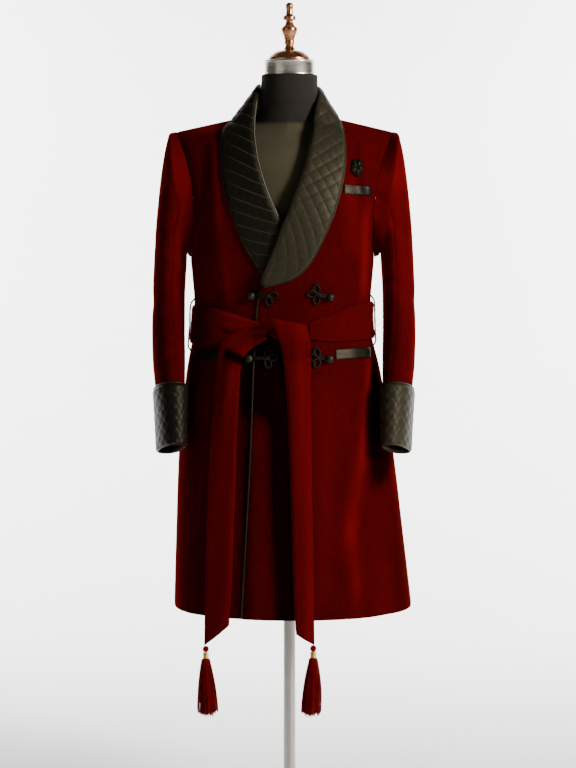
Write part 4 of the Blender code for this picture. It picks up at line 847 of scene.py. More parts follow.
def sleeve_grid(side, front_panel, back_panel):
    """Rings from the armhole's edge to the wrist. Columns start at the shoulder and go round the front."""
    front_loop = front_panel[: ROWS_TO_UNDERARM + 1, -1]
    back_loop = back_panel[: ROWS_TO_UNDERARM + 1, -1]
    armhole = np.concatenate([front_loop, back_loop[-2:0:-1]])
    armhole[:, 0] += side * SEAM * 1.5
    armhole[0, 1] = armhole[ROWS_TO_UNDERARM, 1] = SPINE_Y
    turns = 360 * np.arange(SLEEVE_AROUND) / SLEEVE_AROUND
    rings = [sleeve_ring(side, v, turns) for v in np.linspace(0, SLEEVE_END, SLEEVE_ROWS)]
    start = rings[0] - armhole
    end = (rings[1] - rings[0]) * ARMHOLE_ROWS
    crown = [bridge(k / ARMHOLE_ROWS, armhole, start, rings[0], end) for k in range(ARMHOLE_ROWS)]
    return np.array(crown + rings)


def sleeve_painted_light(side, faces_way, z):
    """Painted highlights down the sleeve's front and over its crown, and painted shade inside the wrist,
    under the cuff.
    """
    turned_front = 0.45 + 0.15 * side
    painted_light = turned_front * np.exp(-(((faces_way - 112) / 52) ** 2)) * soft_step((z - 1.00) / 0.12)
    painted_light += turned_front * np.exp(-(((faces_way - 85) / 55) ** 2)) * soft_step((z - 1.27) / 0.06)
    return painted_light - 1.3 * soft_step((0.85 - z) / 0.03)


def sleeve(side, word, front_panel, back_panel):
    """One sleeve: its top half and its under half, a seam apart."""
    grid = sleeve_grid(side, front_panel, back_panel)
    normals = grid_normals(grid, round_about=True)
    away = grid - grid.mean(axis=1, keepdims=True)
    normals *= np.sign((normals * away).sum(axis=2).mean())
    first_ring = away[0].copy()
    first_ring[:, 0] = 0.0
    normals[0] = first_ring / np.linalg.norm(first_ring, axis=1, keepdims=True)
    top = [k % SLEEVE_AROUND for k in range(BACK_SEAM, SLEEVE_AROUND + FRONT_SEAM + 1)]
    under = list(range(FRONT_SEAM, BACK_SEAM + 1))
    for half, columns, flat, area in (
        ("top", top, (0.22, 0.64), 0.108),
        ("under", under, (0.16, 0.52), 0.064),
    ):
        part, part_normals = grid[:, columns], normals[:, columns]
        inner = part - part_normals * VELVET_THICK
        outer = rounded(part, part_normals, [(0, True), (1, False), (1, True)])
        for cloth in (outer, inner):
            for edge, next_one in ((0, 1), (-1, -2)):
                step = cloth[:, next_one] - cloth[:, edge]
                cloth[:, edge] += step / np.linalg.norm(step, axis=1, keepdims=True) * SEAM / 2
        name = f"velvet_sleeve_{half}_{word}"
        faces_way = 360 * (np.array(columns) % SLEEVE_AROUND) / SLEEVE_AROUND
        # Painted light and shade on the sleeve
        painted_light = sleeve_painted_light(side, faces_way, part[:, :, 2])
        made = shell(name, outer, inner, velvet, [f"sleeve_{half}_{word}"], "velvet", cloth_map=painted_light_map(painted_light))


sleeve(1, "left", left_front, left_back)
sleeve(-1, "right", right_front, right_back)


# The turned-back cuffs: black satin over thin wadding, quilted in diamonds all round, with a satin piping
# set into the upper edge.
# The cuff's edges count the sleeve's sections, and its lower edge hangs a little past the last one
CUFF_TOP = 8.05
CUFF_BOTTOM = SLEEVE_END + 0.1
CUFF_PAST_END = 0.06
CUFF_EASE = 0.0019
QUILT_LOW = 0.003
QUILT_HIGH = 0.0048
CUFF_AROUND = 200
CUFF_ROWS = 80
CUFF_PIPING_POINTS = 140
CUFF_DIAMONDS_AROUND = 12
CUFF_DIAMOND = 0.0235
PIPING = 0.0015


def pillow(along, across, first_power=0.24, second_power=0.24):
    """Height of the quilting, from 0 on the stitch lines to 1 in a diamond's middle; both count diamonds."""
    first = np.abs(np.sin(math.pi * (along + across)))
    second = np.abs(np.sin(math.pi * (along - across)))
    return first**first_power * second**second_power


def satin_finish(name, gloss, sheen=0.0):
    """Black satin, whose gloss is a little warm."""
    constants = {
        "Specular IOR Level": gloss,
        "Specular Tint": color(1.0, 0.90, 0.66),
        "Sheen Weight": sheen,
        "Sheen Roughness": 0.4,
        "Sheen Tint": color(0.9, 0.85, 0.65),
    }
    return Finish(name, constants)


satin = satin_finish("satin", 0.30, sheen=0.02)
satin_weave = satin.noise((2400, 2400, 500), detail=1.0)
satin_wrinkle = satin.noise((120, 120, 120), detail=3.0)
satin_tone = satin.between(satin_wrinkle, color(0.0022, 0.0024, 0.0016), color(0.0050, 0.0052, 0.0034))
satin.paint("Base Color", satin_tone)
satin.paint("Roughness", satin_wrinkle * 0.16 + 0.40)
satin.relief(satin_weave * 0.25 + satin_wrinkle * 0.9, 0.0006)

# A satin painted pale: a painted highlight along the under lapel's roll
roll_highlight_satin = Finish("satin_painted_roll_highlight", {"Roughness": 0.40, "Specular IOR Level": 0.62})
roll_highlight_spots = roll_highlight_satin.noise((90, 90, 90), detail=2.0)
roll_highlight_tone = roll_highlight_satin.between(roll_highlight_spots, color(0.13, 0.115, 0.078), color(0.22, 0.20, 0.135))
roll_highlight_satin.paint("Base Color", roll_highlight_tone)

# Quilted satin is the same cloth with its stitches: short thread ends along each line between the diamonds
quilted = satin_finish("satin_quilted", 0.16, sheen=0.02)
STITCHES_TO_A_DIAMOND = 9
STITCH_HALF_WIDTH = 0.020
cloth_along, cloth_across = (quilted.part(quilted.cloth_place(), axis) for axis in "XY")
rising, falling = cloth_along + cloth_across, cloth_along - cloth_across


def stitched(line, run):
    """1 on the thread ends of the stitch lines where line is a whole number, with run counted along them."""
    off = (line + 0.5).through("FRACT") - 0.5
    on_line = 1 - quilted.spread(off.through("ABSOLUTE"), STITCH_HALF_WIDTH * 0.5, STITCH_HALF_WIDTH)
    dash = (run * STITCHES_TO_A_DIAMOND).through("FRACT")
    return on_line * quilted.spread((dash - 0.5).through("ABSOLUTE"), 0.42, 0.30)


stitches = stitched(rising, falling).through("MAXIMUM", stitched(falling, rising))
quilt_weave = quilted.noise((2400, 2400, 500), detail=1.0)
quilt_wrinkle = quilted.noise((150, 150, 150), detail=3.0)
quilt_tone = quilted.between(quilt_wrinkle, color(0.0130, 0.0113, 0.0066), color(0.0235, 0.0206, 0.0116))
quilt_x, quilt_z = (quilted.part(quilted.place(), axis) for axis in "XZ")
# Painted shade on the lapel and cuff on the wearer's right, and painted highlights on the lapel's falling
# seams
lapel_roll = (quilt_z * 0.39 - 0.489).through("MINIMUM", 0.0)
unlit_side = quilted.spread(quilt_x - lapel_roll, 0.0, -0.006)
quilt_tone = quilted.between(unlit_side * 0.85, quilt_tone, color(0.0010, 0.0011, 0.0009))
off_seam = ((falling + 0.5).through("FRACT") - 0.47).through("ABSOLUTE")
painted_seam_highlight = (1 - quilted.spread(off_seam, 0.0, 0.042)) * quilted.spread(quilt_z, 1.00, 1.30)
painted_seam_highlight = painted_seam_highlight * unlit_side * quilted.spread(quilt_x, -0.128, -0.095)
quilt_stitched = quilted.between(stitches * 0.5, quilt_tone, color(0.017, 0.015, 0.010))
quilted.paint("Base Color", quilted.between(painted_seam_highlight, quilt_stitched, color(0.050, 0.045, 0.030)))
quilted.paint("Roughness", quilt_wrinkle * 0.16 + 0.42)
quilted.relief(quilt_weave * 0.2 + quilt_wrinkle * 0.8 + stitches * 0.3, 0.0004)


def cord_shape(path, radius, sides=12, ring=False, twist=0.0, depth=0.0):
    """Points and faces of a cord. Its two strands stand out by a share of the radius and turn along it."""
    path = np.asarray(path, float)
    count = len(path)
    ahead = (np.roll(path, -1, axis=0) - np.roll(path, 1, axis=0)) if ring else np.gradient(path, axis=0)
    ahead /= np.linalg.norm(ahead, axis=1, keepdims=True)
    helper = np.where(np.abs(ahead[:, 1:2]) < 0.8, [[0.0, 1.0, 0.0]], [[0.0, 0.0, 1.0]])
    first = np.cross(ahead, helper)
    first /= np.linalg.norm(first, axis=1, keepdims=True)
    second = np.cross(ahead, first)
    run = np.concatenate([[0.0], np.cumsum(np.linalg.norm(np.diff(path, axis=0), axis=1))])
    angles = 2 * math.pi * np.arange(sides) / sides
    swell = 1 + depth * np.cos(2 * angles[None, :] - twist * run[:, None])
    radii = np.broadcast_to(np.asarray(radius, float), (count,))[:, None] * swell
    points = path[:, None] + first[:, None] * (np.cos(angles) * radii)[:, :, None]
    points = points + second[:, None] * (np.sin(angles) * radii)[:, :, None]
    faces = capped_faces(count, sides)
    if ring:
        faces = (np.array(grid_faces(count + 1, sides, round_about=True)) % (count * sides)).tolist()
    return points.reshape(-1, 3), faces


def cord(name, path, radius, finish, nodes, slot, **shape):
    """A round cord as a piece of its own."""
    points, faces = cord_shape(path, radius, **shape)
    return ride_and_stand_for(make_object(name, points, faces, finish), nodes)


def cuff(side, word):
    """One cuff round the sleeve's wrist, and its piping."""
    turns = 360 * np.arange(CUFF_AROUND) / CUFF_AROUND
    down = np.arange(CUFF_ROWS + 1) / CUFF_ROWS
    low = []
    for share in down:
        v = CUFF_TOP + (CUFF_BOTTOM - CUFF_TOP) * share
        ring = sleeve_ring(side, min(v, SLEEVE_END), turns, CUFF_EASE)
        ring[:, 2] -= max(0.0, v - SLEEVE_END) * CUFF_PAST_END
        low.append(ring)
    low = np.array(low)
    normals = grid_normals(low, round_about=True)
    away = low - low.mean(axis=1, keepdims=True)
    normals *= np.sign((normals * away).sum(axis=2).mean())
    run = edge_distance(low, 0, False)
    left = edge_distance(low, 0, True)
    along = np.broadcast_to(turns / 360 * CUFF_DIAMONDS_AROUND, run.shape)
    across = np.broadcast_to(run.mean(axis=1, keepdims=True) / CUFF_DIAMOND, run.shape)
    edge = soft_step(np.minimum(run, left) / 0.005)
    thick = QUILT_LOW * (0.45 + 0.55 * edge) + (QUILT_HIGH - QUILT_LOW) * pillow(along, across) * edge
    outer = low + normals * thick[:, :, None]
    lay = {"round_about": True, "cloth_map": np.stack([along, across], -1), "around": CUFF_DIAMONDS_AROUND}
    made = shell(f"satin_cuff_{word}", outer, low, quilted, [f"cuff_{word}"], "satin", **lay)
    turns = 360 * np.arange(CUFF_PIPING_POINTS) / CUFF_PIPING_POINTS
    ring = sleeve_ring(side, CUFF_TOP, turns, CUFF_EASE + QUILT_LOW / 2)
    ring[:, 2] += PIPING + SEAM * 2
    cord(f"satin_cuff_piping_{word}", ring, PIPING, satin, [f"cuff_piping_{word}"], "satin", ring=True)


cuff(1, "left")
cuff(-1, "right")


# The shawl collar: two halves of quilted black satin, joined at the centre back. Each stands up round the
# neck, rolls over and falls on the front as a broad lapel. A satin piping is set round its outer edge.
NECK_X = -0.002
ROLL_EDGE_FRONT = -0.012
COLLAR_CLEAR = 0.0028
COLLAR_ROWS = 340
COARSE_ROWS = 120
FALL_COLUMNS = 58
STAND_COLUMNS = 12
ROLL_LIFT = 0.004
FALL_LIFT = 0.001
DIAMOND = 0.029
# roll x, y and z, edge x, y and z, depth of the stand. An empty y is read from the front under the lapel.
collar_over = [
    (NECK_X, 0.0670, 1.512, NECK_X, 0.108, 1.428, 0.040),
    (0.036, 0.0570, 1.512, 0.058, 0.093, 1.431, 0.038),
    (0.0585, 0.0260, 1.509, 0.086, 0.048, 1.444, 0.028),
    (0.0623, -0.0060, 1.498, 0.0930, 0.006, 1.4490, 0.021),
    (0.0560, -0.0350, 1.470, 0.1030, -0.030, 1.4340, 0.018),
    (0.0475, None, 1.426, 0.1095, -0.052, 1.4040, 0.008),
    (0.0385, None, 1.378, 0.1120, None, 1.3580, 0.006),
    (0.0275, None, 1.334, 0.1055, None, 1.3080, 0.006),
    (0.0135, None, 1.294, 0.0938, None, 1.2640, 0.006),
    (-0.0005, None, 1.254, 0.0778, None, 1.2200, 0.006),
    (-0.0145, None, 1.222, 0.0572, None, 1.1760, 0.006),
    (-0.0265, None, 1.188, 0.0322, None, 1.1380, 0.006),
    (-0.0385, None, 1.159, 0.0036, None, 1.1160, 0.006),
    (-0.0500, None, 1.130, -0.0280, None, 1.1060, 0.006),
    (-0.0570, None, 1.108, -0.0500, None, 1.1000, 0.006),
]
collar_under = [
    (NECK_X, 0.0670, 1.512, NECK_X, 0.108, 1.428, 0.040),
    (-0.040, 0.0570, 1.513, -0.062, 0.093, 1.431, 0.038),
    (-0.060, 0.0260, 1.514, -0.094, 0.048, 1.441, 0.030),
    (-0.0636, -0.0060, 1.506, -0.1060, 0.006, 1.4460, 0.026),
    (-0.0705, -0.0350, 1.470, -0.1240, -0.028, 1.4240, 0.018),
    (-0.0735, None, 1.420, -0.1360, -0.055, 1.3900, 0.008),
    (-0.0690, None, 1.374, -0.1358, None, 1.3400, 0.006),
    (-0.0590, None, 1.330, -0.1285, None, 1.2940, 0.006),
    (-0.0460, None, 1.291, -0.1145, None, 1.2480, 0.006),
    (-0.0300, None, 1.254, -0.0990, None, 1.2060, 0.006),
    (-0.0155, None, 1.222, -0.0800, None, 1.1680, 0.006),
    (0.0005, None, 1.192, -0.0620, None, 1.1390, 0.006),
    (0.0110, None, 1.170, -0.0535, None, 1.1240, 0.006),
]


def surface_y(x, z, side, lap):
    """The y of a front panel's outer surface at a place seen from the front."""
    low, high = 0.0, float(len(body_sections) - 1)
    for _ in range(30):
        middle = (low + high) / 2
        if body_line(middle, np.array([x]), side, -1, lap)[0, 2] > z:
            low = middle
        else:
            high = middle
    return float(body_line(low, np.array([x]), side, -1, lap)[0, 1])


def cover_tree(grids):
    """A search tree over the outer faces of these cloth grids, turned away from the form's spine."""
    points, faces = [], []
    for grid in grids:
        rows, columns = grid.shape[:2]
        quads = grid_faces(rows, columns, len(points))
        spot = grid[rows // 4, columns // 2]
        normal = np.cross(grid[rows // 4, columns // 2 + 1] - spot, grid[rows // 4 + 1, columns // 2] - spot)
        if np.dot(normal[:2], spot[:2]) < 0:
            quads = [quad[::-1] for quad in quads]
        points += [tuple(point) for point in grid.reshape(-1, 3)]
        faces += quads
    return BVHTree.FromPolygons(points, faces)


def collar_line(row, cover):
    """One section of the collar's underside: up the stand, over the roll and down the fall."""
    roll, edge, stand = Vector(row[:3]), Vector(row[3:6]), row[6]
    fall = edge - roll
    lift = min(1.0, stand / 0.03)
    down = Vector((0, 0.55 * (1 - lift), -lift - 0.25 * (1 - lift))).normalized()
    points = []
    for k in range(STAND_COLUMNS, 0, -1):
        part = k / STAND_COLUMNS
        points.append(roll + down * stand * part + fall.normalized() * 0.002 * lift * part)
    first = roll + Vector((0, 0, ROLL_LIFT * lift)) + fall * 0.22
    second = edge - fall * 0.30 + Vector((0, -0.002, FALL_LIFT))
    for k in range(FALL_COLUMNS + 1):
        t = k / FALL_COLUMNS
        point = roll * (1 - t) ** 3 + first * 3 * t * (1 - t) ** 2 + second * 3 * t**2 * (1 - t) + edge * t**3
        if k:
            near, normal, _, _ = cover.find_nearest(point)
            if (point - near).dot(normal) < COLLAR_CLEAR:
                point = near + normal * COLLAR_CLEAR
        points.append(point)
    return [tuple(point) for point in points]


def softened(grid, columns, passes):
    """Smooths a grid across these columns, so that a fold becomes a soft roll."""
    for _ in range(passes):
        middle = (grid[:, columns[0] - 1 : columns[1] - 1] + grid[:, columns[0] + 1 : columns[1] + 1]) / 2
        grid[:, columns[0] : columns[1]] = (grid[:, columns[0] : columns[1]] + middle) / 2
    return grid


def blurred(field, passes):
    """Evens a grid of vectors with its neighbours, which also fills the places where it has no direction."""
    for _ in range(passes):
        wide = np.pad(field, ((1, 1), (1, 1), (0, 0)), mode="edge")
        field = (wide[:-2, 1:-1] + wide[2:, 1:-1] + wide[1:-1, :-2] + wide[1:-1, 2:] + 2 * field) / 6
    return field


def seated_rows(table, side, lap):
    """The collar's rows with each empty y read from the front that lies under it."""
    filled = []
    for row in table:
        row = list(row)
        if row[1] is None:
            reach = float(read_column(front_edge, lap, row[2]))
            row[1] = surface_y(reach, row[2], side, lap) - COLLAR_CLEAR
        if row[4] is None:
            row[4] = surface_y(row[3], row[5], side, lap) - COLLAR_CLEAR
        filled.append(row)
    return filled


def even_numbers(filled):
    """Row numbers that lie evenly along the collar's middle line, and how far along it each one is."""
    coarse_numbers = np.linspace(0, len(filled) - 1, COARSE_ROWS)
    coarse = np.array([read_table(filled, number) for number in coarse_numbers])
    middle = (coarse[:, :3] + coarse[:, 3:6]) / 2
    length = np.concatenate([[0.0], np.cumsum(np.linalg.norm(np.diff(middle, axis=0), axis=1))])
    run = np.linspace(0, length[-1], COLLAR_ROWS + 1)
    return np.interp(run, length, coarse_numbers), run


def roll_edge(outer):
    """A thin satin cord along the under lapel's roll, painted pale as the roll's highlight."""
    near_roll = outer[:, STAND_COLUMNS - 6 : STAND_COLUMNS + 7]
    leftmost = near_roll[:, :, 0].argmax(axis=1)
    path = near_roll[np.arange(len(near_roll)), leftmost] + (0.0001, -0.0002, 0.0)
    path = path[path[:, 1] < ROLL_EDGE_FRONT]
    for axis in (0, 1):
        padded = np.pad(path[:, axis], 4, mode="edge")
        path[:, axis] = np.convolve(padded, np.ones(9) / 9, "valid")
    cord("satin_roll_edge", path[::2], 0.0007, roll_highlight_satin, [], "satin", sides=10)


def collar(side, word, table, lap, panels, powers):
    """One half of the collar with its piping. The powers say how full it is quilted along its two lines."""
    cover = cover_tree(panels)
    filled = seated_rows(table, side, lap)
    numbers, run = even_numbers(filled)
    inner = np.array([collar_line(read_table(filled, number), cover) for number in numbers])
    inner[0, :, 0] = NECK_X + side * SEAM / 2
    inner = softened(inner, (STAND_COLUMNS - 5, STAND_COLUMNS + 6), 20)
    inner[1:-1, STAND_COLUMNS:-1] = blurred(inner, 3)[1:-1, STAND_COLUMNS:-1]
    normals = grid_normals(inner)
    normals *= -np.sign(normals[COLLAR_ROWS // 2, STAND_COLUMNS + FALL_COLUMNS // 2, 1])
    normals = blurred(normals, 6)
    normals[0, :, 0] = 0.0
    normals /= np.linalg.norm(normals, axis=2, keepdims=True)
    down_fall = edge_distance(inner[:, STAND_COLUMNS:], 1, False)
    down_stand = edge_distance(inner[:, : STAND_COLUMNS + 1], 1, True)
    from_roll = np.concatenate([-down_stand[:, :-1], down_fall], axis=1)
    to_edge = edge_distance(inner, 1, True)
    to_tip = run[-1] - run[:, None]
    along = np.broadcast_to(run[:, None] / DIAMOND, to_edge.shape)
    across = to_edge / DIAMOND
    edge = soft_step(np.minimum(to_edge, to_tip) / 0.006)
    on_fall = edge * soft_step((from_roll + 0.002) / 0.010)
    puffed = (QUILT_HIGH - QUILT_LOW) * pillow(along, across, *powers) * on_fall
    thick = QUILT_LOW * (0.5 + 0.5 * edge) + puffed
    outer = inner + normals * thick[:, :, None]
    lay = np.stack([along, across], -1)
    made = shell(f"satin_collar_{word}", outer, inner, quilted, [f"collar_{word}"], "satin", cloth_map=lay)
    rim = inner[:, -1] + normals[:, -1] * QUILT_LOW * 0.35
    outward = inner[:, -1] - inner[:, -3]
    outward /= np.linalg.norm(outward, axis=1, keepdims=True)
    cord(f"satin_collar_piping_{word}", (rim + outward * 0.0006)[::2], 0.0012, satin, [], "satin", sides=10)
    if lap == UNDER:
        roll_edge(outer)


over_panels = (left_front, left_back, right_back)
under_panels = (right_front, left_back, right_back)
collar(1, "left", collar_over, OVER, over_panels, (0.22, 0.22))
collar(-1, "right", collar_under, UNDER, under_panels, (0.10, 0.38))


# The trimming of the front: a satin piping down the overlapping edge, and satin welts at the breast pocket
# and the two hip pockets, pressed flat and slip-stitched over the velvet.
fronts = cover_tree((left_front, right_front))


def front_y(x, z):
    """The y of the outermost cloth of the two fronts at a place seen from the front."""
    hit = fronts.ray_cast(Vector((x, -1.0, max(z, HEM + 0.001))), Vector((0, 1, 0)))[0]
    return hit.y if hit else SPINE_Y


def evened(sheet, passes):
    """Evens the inside of a grid of numbers with its four neighbours."""
    for _ in range(passes):
        sheet[1:-1, 1:-1] = (sheet[:-2, 1:-1] + sheet[2:, 1:-1] + sheet[1:-1, :-2] + sheet[1:-1, 2:]) / 4
    return sheet


PIPING_TOP = 1.092
edge_path = []
for z in np.linspace(PIPING_TOP, HEM + 0.002, 150):
    x = float(read_column(front_edge, OVER, z))
    edge_path.append((x - PIPING - SEAM, surface_y(x, z, 1, OVER) + VELVET_THICK / 2, z))
cord("satin_front_piping", edge_path, PIPING, satin, ["front_piping"], "satin")

WELT_CLEAR = 0.0010
WELT_THICK = 0.0024
WELT_COLUMNS = 70
WELT_ROWS = 26
welts = [
    # name, x and z of the nearer end, x and z of the farther end, height
    ("breast", 0.1090, 1.2960, 0.1645, 1.2920, 0.0195),
    ("hip_left", 0.0915, 0.9655, 0.1640, 0.9665, 0.0205),
    ("hip_right", -0.1165, 0.9625, -0.1860, 0.9615, 0.0205),
]
welt_cloth = satin_finish("satin_welt", 0.12)
welt_weave = welt_cloth.noise((2400, 500, 2400), detail=1.0)
welt_wrinkle = welt_cloth.noise((60, 60, 200), detail=2.0)
# Painted highlight: pale at the ends nearer the middle, fading towards the wearer's left; none on the right
# half
welt_x = welt_cloth.part(welt_cloth.place(), "X")
highlight_fade = 1 - welt_cloth.spread(welt_x + welt_wrinkle * 0.02, 0.118, 0.152)
welt_painted_highlight = highlight_fade * welt_cloth.spread(welt_x, 0.0, 0.08)
welt_tone = welt_cloth.between(welt_wrinkle, color(0.002, 0.002, 0.0015), color(0.004, 0.004, 0.003))
welt_cloth.paint("Base Color", welt_cloth.between(welt_painted_highlight, welt_tone, color(0.017, 0.013, 0.008)))
welt_cloth.paint("Roughness", welt_wrinkle * 0.12 + 0.36)
welt_cloth.relief(welt_weave * 0.2 + welt_wrinkle * 0.5, 0.0004)
for word, near_x, near_z, far_x, far_z, height in welts:
    part, rise = np.meshgrid(np.linspace(0, 1, WELT_COLUMNS), np.linspace(0.5, -0.5, WELT_ROWS))
    xs = near_x + (far_x - near_x) * part
    zs = near_z + (far_z - near_z) * part + rise * height
    seat = evened(np.array([[front_y(x, z) for x, z in zip(*line)] for line in zip(xs, zs)]), 4)
    long = abs(far_x - near_x)
    to_rim = np.minimum(np.minimum(part, 1 - part) * long, (0.5 - np.abs(rise)) * height)
    crown = 0.35 + 0.65 * np.sqrt(np.clip(to_rim / 0.0022, 0, 1))
    fold = -0.0005 * np.exp(-(((rise - 0.36) * height / 0.0012) ** 2))
    lean = np.clip(np.hypot(1, np.gradient(seat, axis=1) / np.gradient(xs, axis=1)), 1, 2.5)
    inner = np.stack([xs, seat - WELT_CLEAR * lean, zs], -1)
    outer = np.stack([xs, seat - (WELT_CLEAR + WELT_THICK * crown) * lean - fold, zs], -1)
    made = shell(f"satin_welt_{word}", outer, inner, welt_cloth, [f"welt_{word}"], "satin")


# The rosette above the breast pocket: a small puff of black satin gathered to its middle, with five soft
# petals and a tiny covered centre.
ROSETTE_X = 0.1360
ROSETTE_Z = 1.3400
ROSETTE_WIDE = 0.0125
ROSETTE_TALL = 0.0180
PETALS = 5
ROSETTE_SIDES = 120
ROSETTE_RINGS = 26
rosette_points = []
for ring in range(ROSETTE_RINGS):
    reach = 1 - ring / ROSETTE_RINGS
    turns = 2 * math.pi * np.arange(ROSETTE_SIDES) / ROSETTE_SIDES
    lobes = np.cos(PETALS * turns + 1.2 * reach)
    ruffle = 1 + 0.10 * lobes * reach
    xs = ROSETTE_X + ROSETTE_WIDE * reach * ruffle * np.cos(turns)
    zs = ROSETTE_Z + ROSETTE_TALL * reach * ruffle * np.sin(turns)
    dome = 0.0085 * math.sqrt(max(0.0, 1 - reach**2.4))
    gather = 0.0024 * (np.abs(np.cos(PETALS * turns / 2 + 0.6 * reach)) - 0.6)
    gather = gather * math.sin(math.pi * reach) ** 0.7
    center_dip = -0.0030 * math.exp(-((reach / 0.22) ** 2)) + 0.0026 * math.exp(-((reach / 0.10) ** 2))
    for x, z, lift in zip(xs, zs, dome + gather + center_dip):
        rosette_points.append((x, front_y(x, z) - WELT_CLEAR - (max(lift, 0.0008) if ring else 0.0), z))
rosette_faces = capped_faces(ROSETTE_RINGS, ROSETTE_SIDES)
rosette = make_object("satin_rosette_puff", rosette_points, rosette_faces, welt_cloth, sharp=80)
ride_and_stand_for(rosette, ["rosette"])


# The frogs: four clovers of twisted satin cord sewn down loop by loop, each with a stem that ends in a
# ball knot of the same cord.
CORD = 0.0020
CLEAR = 0.0006
LOOP_START = 0.0005
LOOP_LONG = 0.0095
LOOP_WIDE = 0.0062
BALL_RADIUS = 0.0085
CORD_TWIST = {"twist": 1500, "depth": 0.16}
frogs = [
    # name, x and z of the middle, x and z of the ball, loops; the lapel hides a loop of the upper right one
    ("upper_left", 0.0547, 1.0860, 0.0815, 1.0800, ("up", "down", "back")),
    ("upper_right", -0.0425, 1.0835, -0.0765, 1.0825, ("down", "back")),
    ("lower_left", 0.0555, 0.9600, 0.0800, 0.9570, ("up", "down", "back")),
    ("lower_right", -0.0440, 0.9600, -0.0808, 0.9580, ("up", "down", "back")),
]


def seated(x, z, height, reach=0.0):
    """A point this high over the outermost cloth near a place seen from the front."""
    return (x, min(front_y(x + step, z) for step in (-reach, 0.0, reach)) - height, z)


def joined(shapes):
    """One set of points and faces from several."""
    points, faces = [], []
    for shape_points, shape_faces in shapes:
        faces += [[len(points) + k for k in face] for face in shape_faces]
        points += [tuple(point) for point in shape_points]
    return points, faces


def ball_shape(center, radius, flat, bands, band_half, relief, sides=48, rings=30):
    """A ball of cord: bands run round it on tilted planes and pass over and under each other."""
    points = []
    for ring in range(1, rings):
        tilt = math.pi * ring / rings
        for k in range(sides):
            turn = 2 * math.pi * k / sides
            way = np.array([math.sin(tilt) * math.cos(turn), math.cos(tilt), math.sin(tilt) * math.sin(turn)])
            lift = 0.0
            for number, axis in enumerate(bands):
                off = abs(float(way @ axis)) / band_half
                side = np.cross(axis, (0.3, 0.5, 0.81))
                along = math.atan2(float(way @ np.cross(axis, side)), float(way @ side))
                if off < 1:
                    weave = 0.75 + 0.25 * math.cos(3 * along + number * math.pi)
                    lift = max(lift, math.sqrt(1 - off**2) * weave)
            points.append(center + way * (1, flat, 1) * radius * (1 + relief * (lift - 0.6)))
    points += [center + np.array([0, radius * flat, 0]), center - np.array([0, radius * flat, 0])]
    faces = grid_faces(rings - 1, sides, round_about=True)
    last = (rings - 2) * sides
    top, bottom = len(points) - 2, len(points) - 1
    faces += [[top, (k + 1) % sides, k] for k in range(sides)]
    faces += [[bottom, last + k, last + (k + 1) % sides] for k in range(sides)]
    return points, faces


frog_cord = Finish("satin_frog_cord", {"Roughness": 0.55, "Specular IOR Level": 0.12})
frog_tone = frog_cord.noise((300, 300, 300), detail=2.0)
frog_black = frog_cord.between(frog_tone, color(0.0022, 0.0022, 0.0014), color(0.0060, 0.0060, 0.0038))
frog_cord.paint("Base Color", frog_black)

knot_planes = [(1, 0.2, 1), (-1, 0.2, 1), (0.1, 1, 0.9), (0.1, 1, -0.9), (0.2, 0.1, 1), (1, 0.1, -0.2)]
knot_planes = np.array(knot_planes, float)
knot_planes /= np.linalg.norm(knot_planes, axis=1, keepdims=True)
for name, x, z, ball_x, ball_z, loops in frogs:
    away = 1 if ball_x > x else -1
    shapes = []
    loop_ways = (("up", -0.12 * away, 1.0), ("down", -0.12 * away, -1.0), ("back", -away, 0.1))
    for word, way_x, way_z in loop_ways:
        if word not in loops:
            continue
        size = math.hypot(way_x, way_z)
        way_x, way_z = way_x / size, way_z / size
        path = []
        for angle in np.linspace(0, 2 * math.pi, 48, endpoint=False):
            along = LOOP_START + LOOP_LONG * (1 + math.cos(angle))
            across = LOOP_WIDE * math.sin(angle)
            upper_strand = 1 if math.sin(angle) > 0 else 0.2
            lift = CLEAR + CORD + 0.0010 * (1 - along / (2 * LOOP_LONG)) * upper_strand
            path.append(seated(x + way_x * along + way_z * across, z + way_z * along - way_x * across, lift))
        shapes.append(cord_shape(path, CORD, ring=True, **CORD_TWIST))
    step_x, step_z = ball_x - x, ball_z - z
    share = 1 - (BALL_RADIUS * 0.8) / math.hypot(step_x, step_z)
    for offset in (-1, 1):
        stem = []
        for t in np.linspace(0, share, 26):
            bow = offset * CORD * 0.95
            stem.append(seated(x + step_x * t, z + step_z * t + bow, PIPING + CORD * 1.1, 0.004))
        stem = np.array(stem)
        for _ in range(6):
            stem[1:-1] = (stem[:-2] + stem[2:]) / 2
        shapes.append(cord_shape(stem, CORD * 0.95, **CORD_TWIST))
    middle = np.array(seated(x, z, CLEAR + CORD * 1.6))
    shapes.append(ball_shape(middle, 0.0045, 0.62, knot_planes[:3], 0.42, 0.20, sides=30, rings=18))
    made = make_object(f"satin_frog_{name}", *joined(shapes), frog_cord)
    ride_and_stand_for(made, [f"frog_{name}"])
    ball = np.array(seated(ball_x, ball_z, BALL_RADIUS * 0.8 + CLEAR, 0.002))
    points, faces = ball_shape(ball, BALL_RADIUS * 0.97, 0.82, knot_planes, 0.30, 0.16)
    made = make_object(f"satin_ball_knot_{name}", points, faces, satin)
    ride_and_stand_for(made, [f"ball_knot_{name}"])


